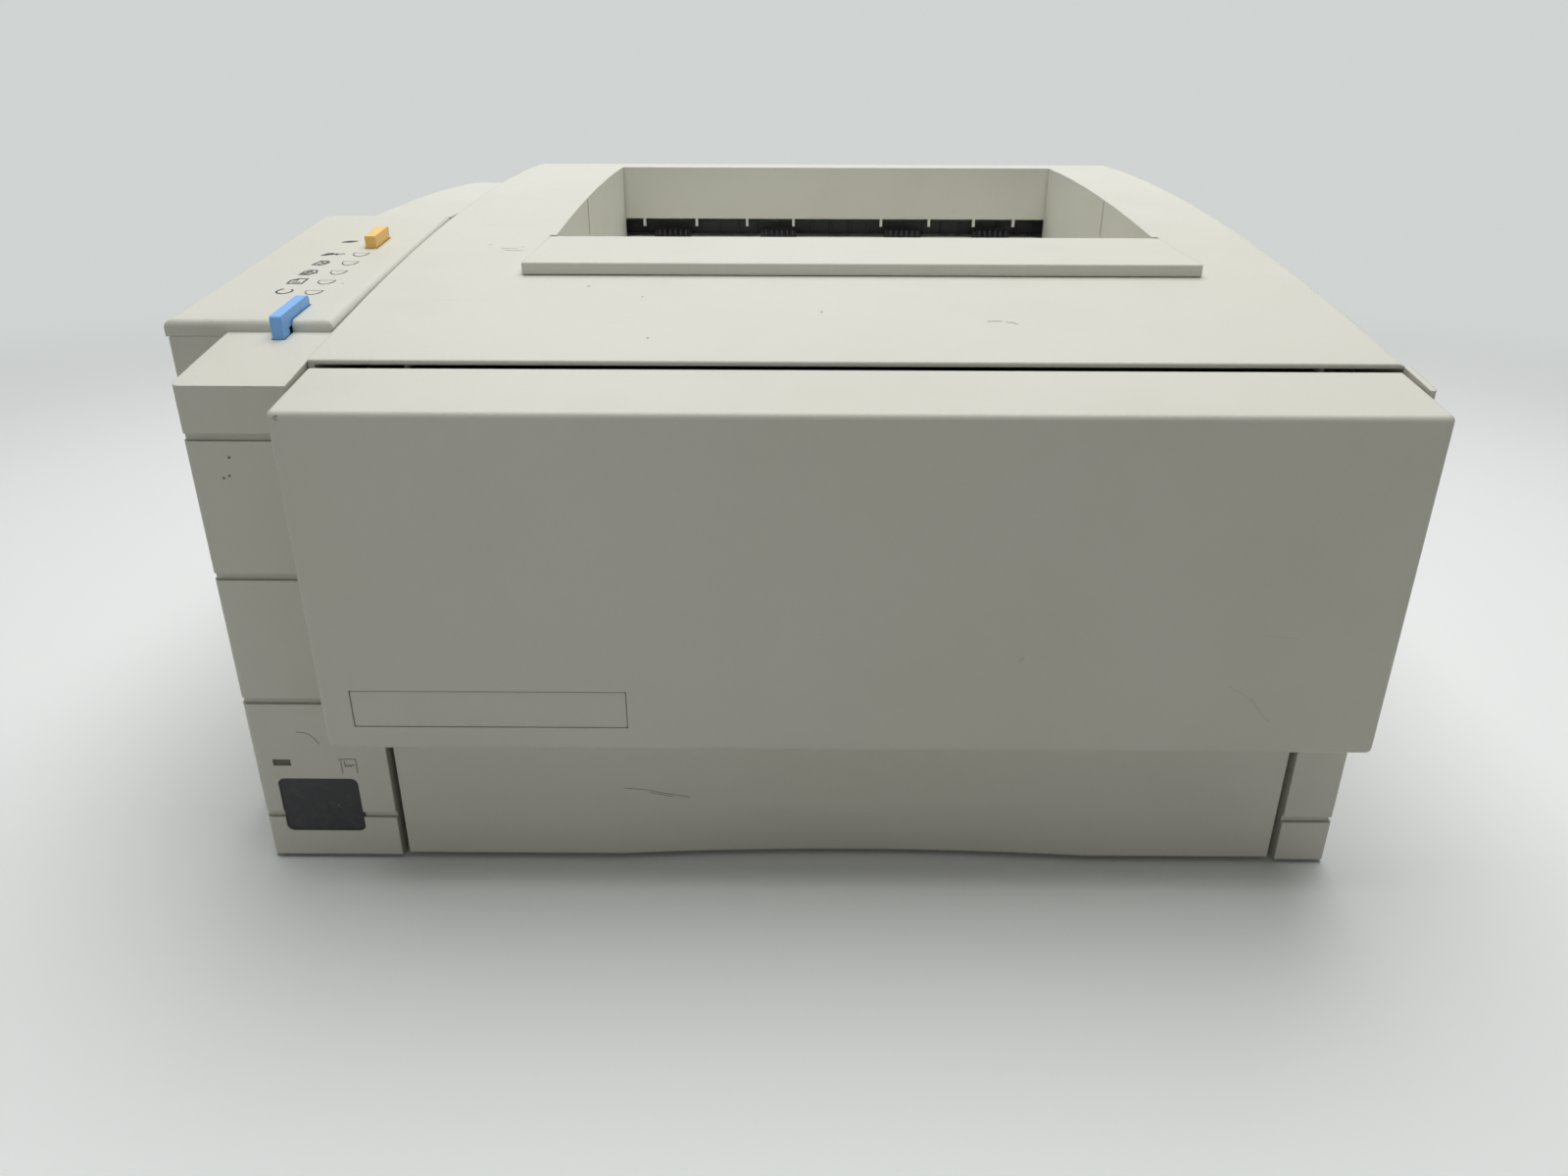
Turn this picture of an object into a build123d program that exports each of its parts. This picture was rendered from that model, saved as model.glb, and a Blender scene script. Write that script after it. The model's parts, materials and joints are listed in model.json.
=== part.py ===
from build123d import *
import os
from math import acos, atan2, cos, pi, radians, sin, sqrt

# Desktop laser printer with a hinged top cover, a fold-down front tray and a slide-out
# paper cassette. X runs to the right as seen from the front, Y to the back and Z up. The
# origin is under the middle of the printer, on the surface that it stands on.
# Lengths are in millimetres.

os.makedirs("parts", exist_ok=True)

# Outline of the whole printer
overall_width = 405.0
overall_depth = 404.0
foot_drop = 1.5
wall = 2.2
cover_gap = 0.3
bay_depth = 21.3
right_x = overall_width / 2
bay_x = -overall_width / 2
left_x = bay_x + bay_depth
front_y = -overall_depth / 2
back_y = overall_depth / 2
column_setback = 17.1
column_y = front_y + column_setback

# The arched top: one large circle, seen from the side
crown_radius = 2089.0
crown_peak_y = back_y + 98.0
crown_peak_z = 231.3
shoulder_drop = 0.7

# Columns on both sides of the cassette
left_column_width = 47.5
right_column_width = 17.9
column_top_z = 160.0
column_return = 14.0
bay_left_x = left_x + left_column_width
bay_right_x = right_x - right_column_width
groove_heights = (18.7, 64.9, 110.9, 157.5)
groove_width = 2.3
groove_depth = 1.2

# Top cover
door_side_gap = cover_gap
door_left_x = bay_left_x - 11.8
door_right_x = right_x - wall - door_side_gap
cover_left_x = door_left_x - 0.1
cover_front_y = front_y + 34.4
cover_back_y = back_y - 0.5
cover_skirt = 14.0
cover_lip = 1.5
cover_hinge_y = cover_back_y - 10.5
cover_hinge_z = 213.0
hinge_lobe = 16.0
hinge_pin_radius = 3.0

# Output bin in the top cover
bin_width = 252.9
bin_length = 203.9
bin_centre_x = right_x - 168.5
bin_back_y = back_y - 28.9
bin_front_y = bin_back_y - bin_length
bin_left_x = bin_centre_x - bin_width / 2
bin_right_x = bin_centre_x + bin_width / 2
bin_wall = 2.2
bin_floor_back_z = 184.0
bin_slot_top_z = 198.7

# Flap in front of the bin
flap_overhang = 2.2
flap_length = 56.4
flap_thickness = 3.2
flap_lip = 3.0
flap_rise = 4.7
flap_gap = 0.3
flap_pin_radius = 1.0
flap_pin_length = 3.0
flap_front_y = bin_front_y - flap_length
flap_left_x = bin_left_x - flap_overhang
flap_right_x = bin_right_x + flap_overhang

# Front door, which folds down as the multipurpose tray
door_bottom_z = 56.5
door_depth = 16.0
door_skin = 2.5
door_back_y = front_y + door_depth
ledge_back_y = cover_front_y - 3.0
door_hinge_y = front_y + 11.0
door_hinge_z = door_bottom_z + 5.0
door_ear_radius = 4.2
door_pin_radius = 2.2
door_ear_width = 5.0
running_gap = 0.05

# Control panel on the left shoulder
panel_front_y = front_y + 58.2
panel_length = 143.8
panel_back_y = panel_front_y + panel_length
panel_front_z = 186.6
panel_back_z = 211.2
panel_right_x = cover_left_x - cover_gap
panel_rim = 5.3
panel_round = 2.6
panel_skin = 2.0

# Cassette
cassette_side_gap = 2.5
cassette_top_z = 48.3
cassette_bottom_z = 2.0
cassette_wall = 2.0
cassette_length = 340.0
runner_gap = 0.3

# Inner frames
rail_wall = 2.0
frame_sheet = 1.5
base_floor = 2.5
deck_z = 54.0
frame_left_x = bay_left_x + 2.7
frame_right_x = bay_right_x - 0.6
frame_front_y = front_y + 44.0
frame_back_y = back_y - 16.0
frame_top_z = 174.0
floor_front_y = column_y + 4.4

# Paper path and what turns beside it
paper_width = 216.0
paper_z = 85.0
drum_radius = 15.0
transfer_radius = 8.0
feed_radius = 7.0
press_radius = 10.0
heat_radius = 9.0
nip_gap = 0.3
journal_radius = 3.0
gear_module = 2.0
gear_width = 8.0
gear_backlash = 0.45
gear_x = frame_right_x + 2.5
drum_y = back_y - 202.0
fuser_y = drum_y + 120.0
delivery_y = back_y - 17.5
delivery_z = 186.5
delivery_radius = 6.5


def crown(y, drop=0.0):
    """Height of the arched top at y, less drop."""
    run = crown_peak_y - y
    return crown_peak_z - crown_radius + sqrt(crown_radius ** 2 - run ** 2) - drop


def crown_arc(y0, y1, drop=0.0):
    """The stretch of the arch from y0 to y1, in the open line."""
    middle = (y0 + y1) / 2
    return ThreePointArc((y0, crown(y0, drop)), (middle, crown(middle, drop)), (y1, crown(y1, drop)))


def block(x0, x1, y0, y1, z0, z1, mode=Mode.ADD):
    """A box between two opposite corners, in the open part."""
    with Locations(((x0 + x1) / 2, (y0 + y1) / 2, (z0 + z1) / 2)):
        Box(abs(x1 - x0), abs(y1 - y0), abs(z1 - z0), mode=mode)


def rod(x0, x1, y, z, radius, mode=Mode.ADD):
    """A round bar along X, in the open part."""
    with BuildSketch(Plane((x0, y, z), x_dir=(0, 1, 0), z_dir=(1, 0, 0))) as end:
        Circle(radius)
    extrude(end.sketch, amount=x1 - x0, mode=mode)


def side_prism(x0, x1, points, mode=Mode.ADD):
    """A closed side-view outline of (y, z) points, carried from x0 to x1."""
    with BuildSketch(Plane.YZ.offset(x0)) as outline:
        with BuildLine():
            Polyline(*points, close=True)
        make_face()
    extrude(outline.sketch, amount=x1 - x0, mode=mode)


def under_crown(x0, x1, y0, y1, bottom_z, drop=0.0, mode=Mode.ADD):
    """A block whose top follows the arch."""
    with BuildSketch(Plane.YZ.offset(x0)) as outline:
        with BuildLine():
            crown_arc(y0, y1, drop)
            Polyline((y1, crown(y1, drop)), (y1, bottom_z), (y0, bottom_z), (y0, crown(y0, drop)))
        make_face()
    extrude(outline.sketch, amount=x1 - x0, mode=mode)


def crown_strip(x0, x1, y0, y1, drop, depth, mode=Mode.ADD):
    """A curved slab that follows the arch, drop below it and depth thick."""
    low = drop + depth
    with BuildSketch(Plane.YZ.offset(x0)) as outline:
        with BuildLine():
            crown_arc(y0, y1, drop)
            Line((y1, crown(y1, drop)), (y1, crown(y1, low)))
            crown_arc(y0, y1, low)
            Line((y0, crown(y0, low)), (y0, crown(y0, drop)))
        make_face()
    extrude(outline.sketch, amount=x1 - x0, mode=mode)


def gear_points(teeth, module, phase):
    """Outline of a toothed wheel about its own middle, one tooth centred at phase."""
    pitch_radius = teeth * module / 2
    tip_radius = pitch_radius + 0.8 * module
    root_radius = pitch_radius - 1.1 * module
    half_pitch = (pi * module / 2 - gear_backlash) / 2 / pitch_radius
    half_tip = (half_pitch * pitch_radius - 0.33 * module) / tip_radius
    half_root = (half_pitch * pitch_radius + 0.33 * module) / root_radius
    points = []
    for tooth in range(teeth):
        middle = phase + 2 * pi * tooth / teeth
        for turn, radius in ((-half_root, root_radius), (-half_tip, tip_radius),
                             (half_tip, tip_radius), (half_root, root_radius)):
            points.append((radius * cos(middle + turn), radius * sin(middle + turn)))
    return points


def train_wheel(station):
    """The toothed wheel of one station of the gear train, in the open part."""
    y, z, teeth, phase = station
    with BuildSketch(Plane((gear_x, y, z), x_dir=(0, 1, 0), z_dir=(1, 0, 0))) as disc:
        with BuildLine():
            Polyline(*gear_points(teeth, gear_module, phase), close=True)
        make_face()
    extrude(disc.sketch, amount=gear_width)


def beside(station, angle, teeth):
    """The next station: a wheel in mesh with this one, at an angle in degrees from level."""
    y, z, own_teeth, phase = station
    turn = radians(angle)
    reach = (own_teeth + teeth) * gear_module / 2
    share = own_teeth * (turn - phase) / (2 * pi)
    next_phase = turn + pi - 2 * pi / teeth * (0.5 - share)
    return (y + reach * cos(turn), z + reach * sin(turn), teeth, next_phase)


def angle_to_meet(station, teeth, goal, goal_teeth, side):
    """Direction in degrees from station to a wheel of teeth that also meshes with the goal."""
    y, z, own_teeth, phase = station
    goal_y, goal_z = goal
    first = (own_teeth + teeth) * gear_module / 2
    second = (goal_teeth + teeth) * gear_module / 2
    span = sqrt((goal_y - y) ** 2 + (goal_z - z) ** 2)
    lean = atan2(goal_z - z, goal_y - y)
    bend = acos((first ** 2 + span ** 2 - second ** 2) / (2 * first * span))
    return (lean + side * bend) * 180 / pi


def direction(station, goal):
    """Direction in degrees from station to a point."""
    return atan2(goal[1] - station[1], goal[0] - station[0]) * 180 / pi


def panel_z(y, drop=0.0):
    """Height of the control panel's slope at y, less drop."""
    share = (y - panel_front_y) / (panel_back_y - panel_front_y)
    return panel_front_z + share * (panel_back_z - panel_front_z) - drop


def save(part, name):
    part.label = name
    export_step(part, f"parts/{name}.step")


# Base frame: floor, cassette bay walls and rear cross wall
rear_wall_y = floor_front_y + cassette_length + 8.0
bay_left_wall_x = frame_left_x + rail_wall
bay_right_wall_x = frame_right_x - rail_wall
floor_top_z = foot_drop + base_floor
floor_left_x = left_x + wall + cover_gap
floor_right_x = right_x - wall - cover_gap
floor_back_y = back_y - wall - cover_gap
floor_shoulder_y = column_y + column_return + cover_gap
vent_pitch = 9.0
deck_front_y = front_y + 112.0
grip_left_x = bin_centre_x - 90.0
grip_right_x = bin_centre_x + 85.0
board_left_x = frame_left_x + 21.0
board_right_x = frame_right_x - 24.0
board_front_y = drum_y - 96.0
board_back_y = drum_y + 92.0
board_z = 60.0
screw_places = (floor_left_x + 27.5, bin_centre_x, floor_right_x - 8.0)
screw_z = 14.0
screw_radius = 1.5
screw_head_radius = 3.2
screw_head_depth = 1.4

with BuildPart() as base_frame:
    block(floor_left_x, floor_right_x, floor_shoulder_y, floor_back_y, foot_drop, floor_top_z)
    block(bay_left_x + cover_gap, bay_right_x - cover_gap, floor_front_y, floor_shoulder_y, foot_drop,
          floor_top_z)
    for wall_x in (frame_left_x, bay_right_wall_x):
        block(wall_x, wall_x + rail_wall, floor_front_y + 3, rear_wall_y, floor_top_z, deck_z)
    block(frame_left_x, frame_right_x, rear_wall_y, rear_wall_y + rail_wall, floor_top_z, deck_z)
    for brace_left_x, brace_right_x in ((floor_left_x, frame_left_x), (frame_right_x, floor_right_x)):
        for brace_y in (-120, -20, 80):
            block(brace_left_x, brace_right_x, brace_y, brace_y + 2, floor_top_z, deck_z - 20)
    with Locations((bin_centre_x, 0, foot_drop + base_floor / 2)):
        with GridLocations(60, vent_pitch, 3, 7):
            Box(44, 3.2, base_floor + 1, mode=Mode.SUBTRACT)
    block(grip_left_x - 4, grip_right_x + 4, floor_front_y - 1, floor_front_y + 6, 0, floor_top_z + 1,
          Mode.SUBTRACT)
    block(frame_left_x, frame_right_x, deck_front_y, rear_wall_y + 1, deck_z - base_floor, deck_z)
    for post_x in (board_left_x + 8, board_right_x - 8):
        for post_y in (board_front_y + 8, board_back_y - 8):
            with Locations((post_x, post_y, (deck_z + board_z) / 2)):
                Cylinder(2.5, board_z - deck_z)
    for screw_x in screw_places:
        block(screw_x - 5, screw_x + 5, rear_wall_y + rail_wall, floor_back_y, floor_top_z, screw_z + 5)
        with Locations(Location((screw_x, floor_back_y, screw_z), (90, 0, 0))):
            Cylinder(screw_radius, 18, mode=Mode.SUBTRACT)
save(base_frame.part, "base_frame")

# Rubber feet under the four corners of the floor
foot_radius = 8.0
foot_inset = 16.0
with BuildPart() as rubber_feet:
    for foot_x in (floor_left_x + foot_inset, floor_right_x - foot_inset):
        for foot_y in (floor_front_y + foot_inset, floor_back_y - foot_inset):
            with Locations((foot_x, foot_y, foot_drop / 2)):
                Cylinder(foot_radius, foot_drop)
save(rubber_feet.part, "rubber_feet")

# Left cover: front column, block, shoulder and the bay that holds the electronics
shoulder_front_z = panel_back_z - 1.0
shoulder_middle_z = 216.0
shoulder_back_z = 218.6
shoulder_back_y = back_y - 30.0
shoulder_foot_z = 192.0
shoulder_right_x = cover_left_x - cover_gap
bay_top_z = 184.0
bay_back_y = back_y - 12.0
bay_corner = 14.0
cover_corner = 3.0
window_left_x = left_x + 7.3
window_right_x = left_x + 35.7
window_bottom_z = 11.7
window_top_z = 33.9
window_corner = 2.5
window_inset = 0.5
lamp_left_x = left_x + 7.1
lamp_right_x = left_x + 13.3
lamp_bottom_z = 39.2
lamp_top_z = 41.7
light_x = left_x + 17.2
go_left_x = light_x + 0.4
go_right_x = light_x + 4.2
go_front_y = panel_front_y - 6.4
go_back_y = panel_front_y + 17.1
reset_left_x = light_x - 0.8
reset_right_x = light_x + 3.5
reset_front_y = panel_front_y + 88.3
reset_back_y = panel_front_y + 104.8
button_gap = 0.4
port_left_x = bay_x + 5.5
port_right_x = bay_x + 17.0
port_bottom_z = 60.0
port_top_z = 118.0


def shoulder_outline(inset):
    """Side outline of the left cover, inset evenly, in the open line."""
    low = foot_drop - (1.0 if inset else 0.0)
    front = column_y + inset
    step = panel_front_y + inset
    seat_front = (step, panel_z(panel_front_y, panel_rim + inset))
    seat_back = (panel_back_y + inset, panel_z(panel_back_y, panel_rim + inset))
    rise = (panel_back_y + inset, shoulder_front_z - inset)
    peak = (shoulder_back_y, shoulder_back_z - inset)
    heel = (back_y - inset, shoulder_foot_z)
    crown_arc(front, step, shoulder_drop + inset)
    Polyline((step, crown(step, shoulder_drop + inset)), seat_front, seat_back, rise)
    ThreePointArc(rise, ((rise[0] + peak[0]) / 2, shoulder_middle_z - inset), peak)
    ThreePointArc(peak, (back_y - 9.0 - inset, shoulder_back_z - 8.0 - inset), heel)
    Polyline(heel, (back_y - inset, low), (front, low), (front, crown(front, shoulder_drop + inset)))


def bay_outline(inset):
    """Side outline of the electronics bay, inset evenly, in the open line."""
    low = foot_drop - (1.0 if inset else 0.0)
    front = (panel_front_y + inset, panel_z(panel_front_y, panel_rim + inset))
    top = (panel_back_y, panel_z(panel_back_y, panel_rim + inset))
    tail = (panel_back_y + 24.0, bay_top_z - inset)
    edge = (bay_back_y - bay_corner, bay_top_z - inset)
    heel = (bay_back_y - inset, bay_top_z - bay_corner)
    Line(front, top)
    TangentArc(top, tail, tangent=(1.0, -0.15))
    Line(tail, edge)
    ThreePointArc(edge, (heel[0] - bay_corner * 0.29, edge[1] - bay_corner * 0.29), heel)
    Polyline(heel, (heel[0], low), (front[0], low), front)


def column_grooves(x0, x1, y0, y1):
    """Shallow level grooves round a column, cut from the open part."""
    for height in groove_heights:
        block(x0, x1, y0, y1, height - groove_width / 2, height + groove_width / 2, Mode.SUBTRACT)


with BuildPart() as left_cover:
    with BuildSketch(Plane.YZ.offset(left_x)):
        with BuildLine():
            shoulder_outline(0.0)
        make_face()
    extrude(amount=shoulder_right_x - left_x)
    front_edges = left_cover.edges().filter_by(Axis.Z).group_by(Axis.Y)[0]
    fillet(front_edges.sort_by(Axis.X)[0], cover_corner)
    block(left_x + cover_corner, bay_left_x, column_y, column_y + wall, foot_drop, column_top_z)
    with BuildSketch(Plane.YZ.offset(bay_x)):
        with BuildLine():
            bay_outline(0.0)
        make_face()
    extrude(amount=bay_depth)
    bay_edges = left_cover.edges().group_by(Axis.X)[0]
    fillet(bay_edges, cover_corner - 1.0)
    with BuildSketch(Plane.YZ.offset(left_x + wall)):
        with BuildLine():
            shoulder_outline(wall)
        make_face()
    extrude(amount=overall_width, mode=Mode.SUBTRACT)
    block(bay_left_x - wall, bay_left_x, column_y, column_y + column_return, foot_drop, column_top_z)
    block(left_x + cover_corner, bay_left_x, column_y, column_y + wall, foot_drop, column_top_z)
    with BuildSketch(Plane.YZ.offset(bay_x + wall)):
        with BuildLine():
            bay_outline(wall)
        make_face()
    extrude(amount=bay_depth + 1, mode=Mode.SUBTRACT)
    block(left_x + wall, overall_width, back_y - 2 * wall, back_y + 1, 0, shoulder_foot_z, Mode.SUBTRACT)
    column_grooves(left_x - 1, bay_left_x + 1, column_y - 1, column_y + groove_depth)
    column_grooves(left_x - 1, left_x + groove_depth, column_y - 1, panel_front_y)
    column_grooves(bay_x - 1, bay_x + groove_depth, panel_front_y - 1, bay_back_y + 1)
    column_grooves(bay_x - 1, left_x, panel_front_y - 1, panel_front_y + groove_depth)
    with BuildSketch(Plane.XZ.offset(-column_y)):
        with Locations(((window_left_x + window_right_x) / 2, (window_bottom_z + window_top_z) / 2)):
            RectangleRounded(window_right_x - window_left_x, window_top_z - window_bottom_z, window_corner)
        with Locations(((lamp_left_x + lamp_right_x) / 2, (lamp_bottom_z + lamp_top_z) / 2)):
            Rectangle(lamp_right_x - lamp_left_x, lamp_top_z - lamp_bottom_z)
    extrude(amount=-2 * wall, mode=Mode.SUBTRACT)
    block(go_left_x - button_gap, go_right_x + button_gap, go_front_y - button_gap,
          panel_front_y + wall, panel_front_z - 16, panel_front_z + 2, Mode.SUBTRACT)
    block(left_x - 9, shoulder_right_x - 6, panel_front_y + wall + 5, panel_back_y - 8,
          panel_front_z - 16, panel_back_z, Mode.SUBTRACT)
    block(port_left_x, port_right_x, bay_back_y - 2 * wall, bay_back_y + 1, port_bottom_z, port_top_z,
          Mode.SUBTRACT)
    with Locations((bay_x, 60, 120)):
        with GridLocations(1, vent_pitch, 1, 11):
            Box(3 * wall, 3.2, 40, mode=Mode.SUBTRACT)
save(left_cover.part, "left_cover")

# Control panel: a thin sloping cap over the electronics bay, with its windows and button holes
light_pitch = 12.2
light_first_y = panel_front_y + 30.3
light_width = 5.6
light_length = 4.4
light_count = 5


def light_places():
    """Centres of the half-moon lights on the slope, nearest the front first."""
    return [(light_x, light_first_y + index * light_pitch) for index in range(light_count)]


panel_lean = atan2(panel_back_z - panel_front_z, panel_back_y - panel_front_y) * 180 / pi


def slope_plane(x, y, drop=0.0):
    """A plane drop below the panel's slope at (x, y), its local Y running up the slope."""
    return Plane((x, y, panel_z(y))).rotated((panel_lean, 0, 0)).offset(-drop)


def half_moon_bar(plane, length, grow=0.0, mode=Mode.ADD):
    """One light's outline, straight at the back and curved at the front, carried up by length."""
    half = light_width / 2 + grow
    rear = light_length / 2 + grow
    with BuildSketch(plane) as moon:
        with BuildLine():
            Line((-half, rear), (half, rear))
            Line((half, rear), (half, -rear * 0.2))
            ThreePointArc((half, -rear * 0.2), (0, -rear), (-half, -rear * 0.2))
            Line((-half, -rear * 0.2), (-half, rear))
        make_face()
    extrude(moon.sketch, amount=length, mode=mode)


panel_outline = [
    (panel_front_y, panel_z(panel_front_y, panel_rim)),
    (panel_front_y, panel_front_z),
    (panel_back_y, panel_back_z),
    (panel_back_y, panel_z(panel_back_y, panel_rim)),
]
panel_hollow = [
    (panel_front_y + wall, panel_z(panel_front_y + wall, panel_rim + 1)),
    (panel_front_y + wall, panel_z(panel_front_y + wall, panel_skin)),
    (panel_back_y - wall, panel_z(panel_back_y - wall, panel_skin)),
    (panel_back_y - wall, panel_z(panel_back_y - wall, panel_rim + 1)),
]
with BuildPart() as control_panel:
    side_prism(bay_x, panel_right_x, panel_outline)
    fillet(control_panel.faces().sort_by(SortBy.AREA)[-2:].sort_by(Axis.Z)[-1].edges(), panel_round)
    side_prism(bay_x + wall, panel_right_x - wall, panel_hollow, Mode.SUBTRACT)
    for x, y in light_places():
        half_moon_bar(slope_plane(x, y, panel_rim), 2 * panel_rim, mode=Mode.SUBTRACT)
    for x0, x1, y0, y1 in (
        (go_left_x, go_right_x, go_front_y, go_back_y),
        (reset_left_x, reset_right_x, reset_front_y, reset_back_y),
    ):
        block(x0 - button_gap, x1 + button_gap, y0 - button_gap, y1 + button_gap,
              panel_front_z - 20, panel_back_z + 1, Mode.SUBTRACT)
save(control_panel.part, "control_panel")

# Light pipes that fill the half-moon windows
light_gap = 0.25
with BuildPart() as panel_lights:
    for x, y in light_places():
        half_moon_bar(slope_plane(x, y, panel_rim - 0.5), panel_rim - 0.7, -light_gap)
save(panel_lights.part, "panel_lights")

# Circuit board under the control panel, with the two button switches
board_sheet = 1.6
panel_board_drop = panel_rim
panel_board_width = 32.0
with BuildPart() as panel_board:
    board_mid_y = (panel_front_y + panel_back_y) / 2
    with BuildSketch(slope_plane(light_x - 6.0, board_mid_y, panel_board_drop + board_sheet)):
        Rectangle(panel_board_width, panel_length - 24)
    extrude(amount=board_sheet)
    block(go_left_x - 1, go_right_x + 1, go_front_y, go_back_y + 1, panel_front_z - 20, panel_back_z,
          Mode.SUBTRACT)
save(panel_board.part, "panel_board")

# Go button: a bar on the slope whose front leg reaches down through the block
button_stand = 4.6
go_stand = 3.4
go_reach_z = crown(go_front_y) - 4.0
with BuildPart() as go_button:
    side_prism(go_left_x, go_right_x, [
        (go_front_y, go_reach_z),
        (go_front_y, panel_z(go_front_y, -go_stand)),
        (go_back_y, panel_z(go_back_y, -go_stand)),
        (go_back_y, panel_z(go_back_y, panel_skin)),
        (panel_front_y - 1.5, panel_z(panel_front_y, panel_skin)),
        (panel_front_y - 1.5, go_reach_z + 1.0),
        (panel_front_y - 2.5, go_reach_z),
    ])
    fillet(go_button.edges().filter_by(Axis.X).group_by(Axis.Z)[-1], 1.2)
    fillet(go_button.edges().filter_by(Axis.X).group_by(Axis.Y)[0].sort_by(Axis.Z)[-1], 1.0)
save(go_button.part, "go_button")

# Reset button: a short bar further up the slope
with BuildPart() as reset_button:
    side_prism(reset_left_x, reset_right_x, [
        (reset_front_y, panel_z(reset_front_y, panel_skin)),
        (reset_front_y, panel_z(reset_front_y, -button_stand)),
        (reset_back_y, panel_z(reset_back_y, -button_stand)),
        (reset_back_y, panel_z(reset_back_y, panel_skin)),
    ])
    fillet(reset_button.edges().filter_by(Axis.X).group_by(Axis.Z)[-1], 1.0)
save(reset_button.part, "reset_button")

# Infrared window and status lamp lens, set into the left column
with BuildPart() as infrared_window:
    with BuildSketch(Plane.XZ.offset(-column_y - window_inset)):
        with Locations(((window_left_x + window_right_x) / 2, (window_bottom_z + window_top_z) / 2)):
            RectangleRounded(window_right_x - window_left_x - 0.1, window_top_z - window_bottom_z - 0.1,
                             window_corner)
    extrude(amount=-wall)
save(infrared_window.part, "infrared_window")

with BuildPart() as status_lens:
    block(lamp_left_x + 0.05, lamp_right_x - 0.05, column_y + window_inset, column_y + wall + 1,
          lamp_bottom_z + 0.05, lamp_top_z - 0.05)
save(status_lens.part, "status_lens")

# Right cover: side wall under the top cover's skirt, with the front column
seam = 0.4
wall_top_drop = cover_skirt + seam
vent_count = 7
fan_y = drum_y - 95.0
fan_z = 128.0
lobe_cut = hinge_lobe + 0.5
with BuildPart() as right_cover:
    under_crown(right_x - wall, right_x, column_y, cover_front_y - seam, foot_drop, shoulder_drop)
    under_crown(right_x - wall, right_x, cover_front_y - seam, back_y, foot_drop, wall_top_drop)
    rod(right_x - 2 * wall, right_x + 1, cover_hinge_y, cover_hinge_z, lobe_cut, Mode.SUBTRACT)
    block(right_x - 2 * wall, right_x + 1, cover_hinge_y, back_y + 1,
          cover_hinge_z - sqrt(lobe_cut ** 2 - (cover_back_y - wall - cover_hinge_y) ** 2), 260, Mode.SUBTRACT)
    block(bay_right_x, right_x, column_y, column_y + wall, foot_drop, column_top_z)
    block(bay_right_x, bay_right_x + wall, column_y, column_y + column_return, foot_drop, column_top_z)
    corner = right_cover.edges().filter_by(Axis.Z).group_by(Axis.Y)[0].sort_by(Axis.X)[-1]
    fillet(corner, cover_corner - 1.5)
    column_grooves(bay_right_x - 1, right_x + 1, column_y - 1, column_y + groove_depth)
    column_grooves(right_x - groove_depth, right_x + 1, column_y - 1, back_y + 1)
    with Locations((right_x, fan_y, fan_z)):
        with GridLocations(1, vent_pitch, 1, vent_count):
            Box(3 * wall, 3.2, 44, mode=Mode.SUBTRACT)
save(right_cover.part, "right_cover")

# Rear cover: back wall with the openings for the rear door, the inlet and the switch
rear_top_z = cover_hinge_z - sqrt(lobe_cut ** 2 - (back_y - wall - cover_hinge_y) ** 2) - 0.6
rear_door_left_x = bin_centre_x - 116.0
rear_door_right_x = bin_centre_x + 116.0
rear_door_bottom_z = 74.0
rear_door_top_z = 152.0
rear_pin_radius = 1.5
inlet_x = floor_right_x - 34.0
inlet_z = 32.0
inlet_width = 28.0
inlet_height = 20.0
switch_z = 56.0
switch_width = 21.0
switch_height = 15.0
switch_pivot_y = back_y - 8.5
rear_y = back_y - wall
rear_hinge_y = rear_y - 0.4
rear_hinge_z = rear_door_bottom_z + 2.0
rear_bead_radius = back_y - rear_hinge_y
door_axle_radius = 1.1
with BuildPart() as rear_cover:
    block(floor_left_x, floor_right_x, rear_y, back_y, foot_drop + 0.3, shoulder_foot_z - 1)
    block(cover_left_x, floor_right_x, rear_y, back_y, shoulder_foot_z - 1, rear_top_z)
    block(rear_door_left_x - 0.5, rear_door_right_x + 0.5, rear_y - 1, back_y + 1,
          rear_hinge_z - rear_bead_radius - 0.4, rear_door_top_z + 0.5, Mode.SUBTRACT)
    for ear_x in (rear_door_left_x - 0.5 - wall, rear_door_right_x + 0.5):
        block(ear_x, ear_x + wall, rear_hinge_y - 4, rear_y, rear_hinge_z - 4, rear_hinge_z + 6)
        rod(ear_x - 1, ear_x + wall + 1, rear_hinge_y, rear_hinge_z, door_axle_radius + running_gap,
            Mode.SUBTRACT)
    block(inlet_x - inlet_width / 2, inlet_x + inlet_width / 2, rear_y - 1, back_y + 1,
          inlet_z - inlet_height / 2, inlet_z + inlet_height / 2, Mode.SUBTRACT)
    block(inlet_x - switch_width / 2, inlet_x + switch_width / 2, rear_y - 1, back_y + 1,
          switch_z - switch_height / 2, switch_z + switch_height / 2, Mode.SUBTRACT)
    for cheek_x in (inlet_x - switch_width / 2 - wall, inlet_x + switch_width / 2):
        block(cheek_x, cheek_x + wall, switch_pivot_y - 4, rear_y, switch_z - 5, switch_z + 5)
    rod(inlet_x - switch_width, inlet_x + switch_width, switch_pivot_y, switch_z,
        rear_pin_radius + running_gap, Mode.SUBTRACT)
    for screw_x in screw_places:
        with Locations(Location((screw_x, back_y, screw_z), (90, 0, 0))):
            Cylinder(screw_radius, 3 * wall, mode=Mode.SUBTRACT)
            Cylinder(screw_head_radius + 0.2, 2 * screw_head_depth, mode=Mode.SUBTRACT)
save(rear_cover.part, "rear_cover")

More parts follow.
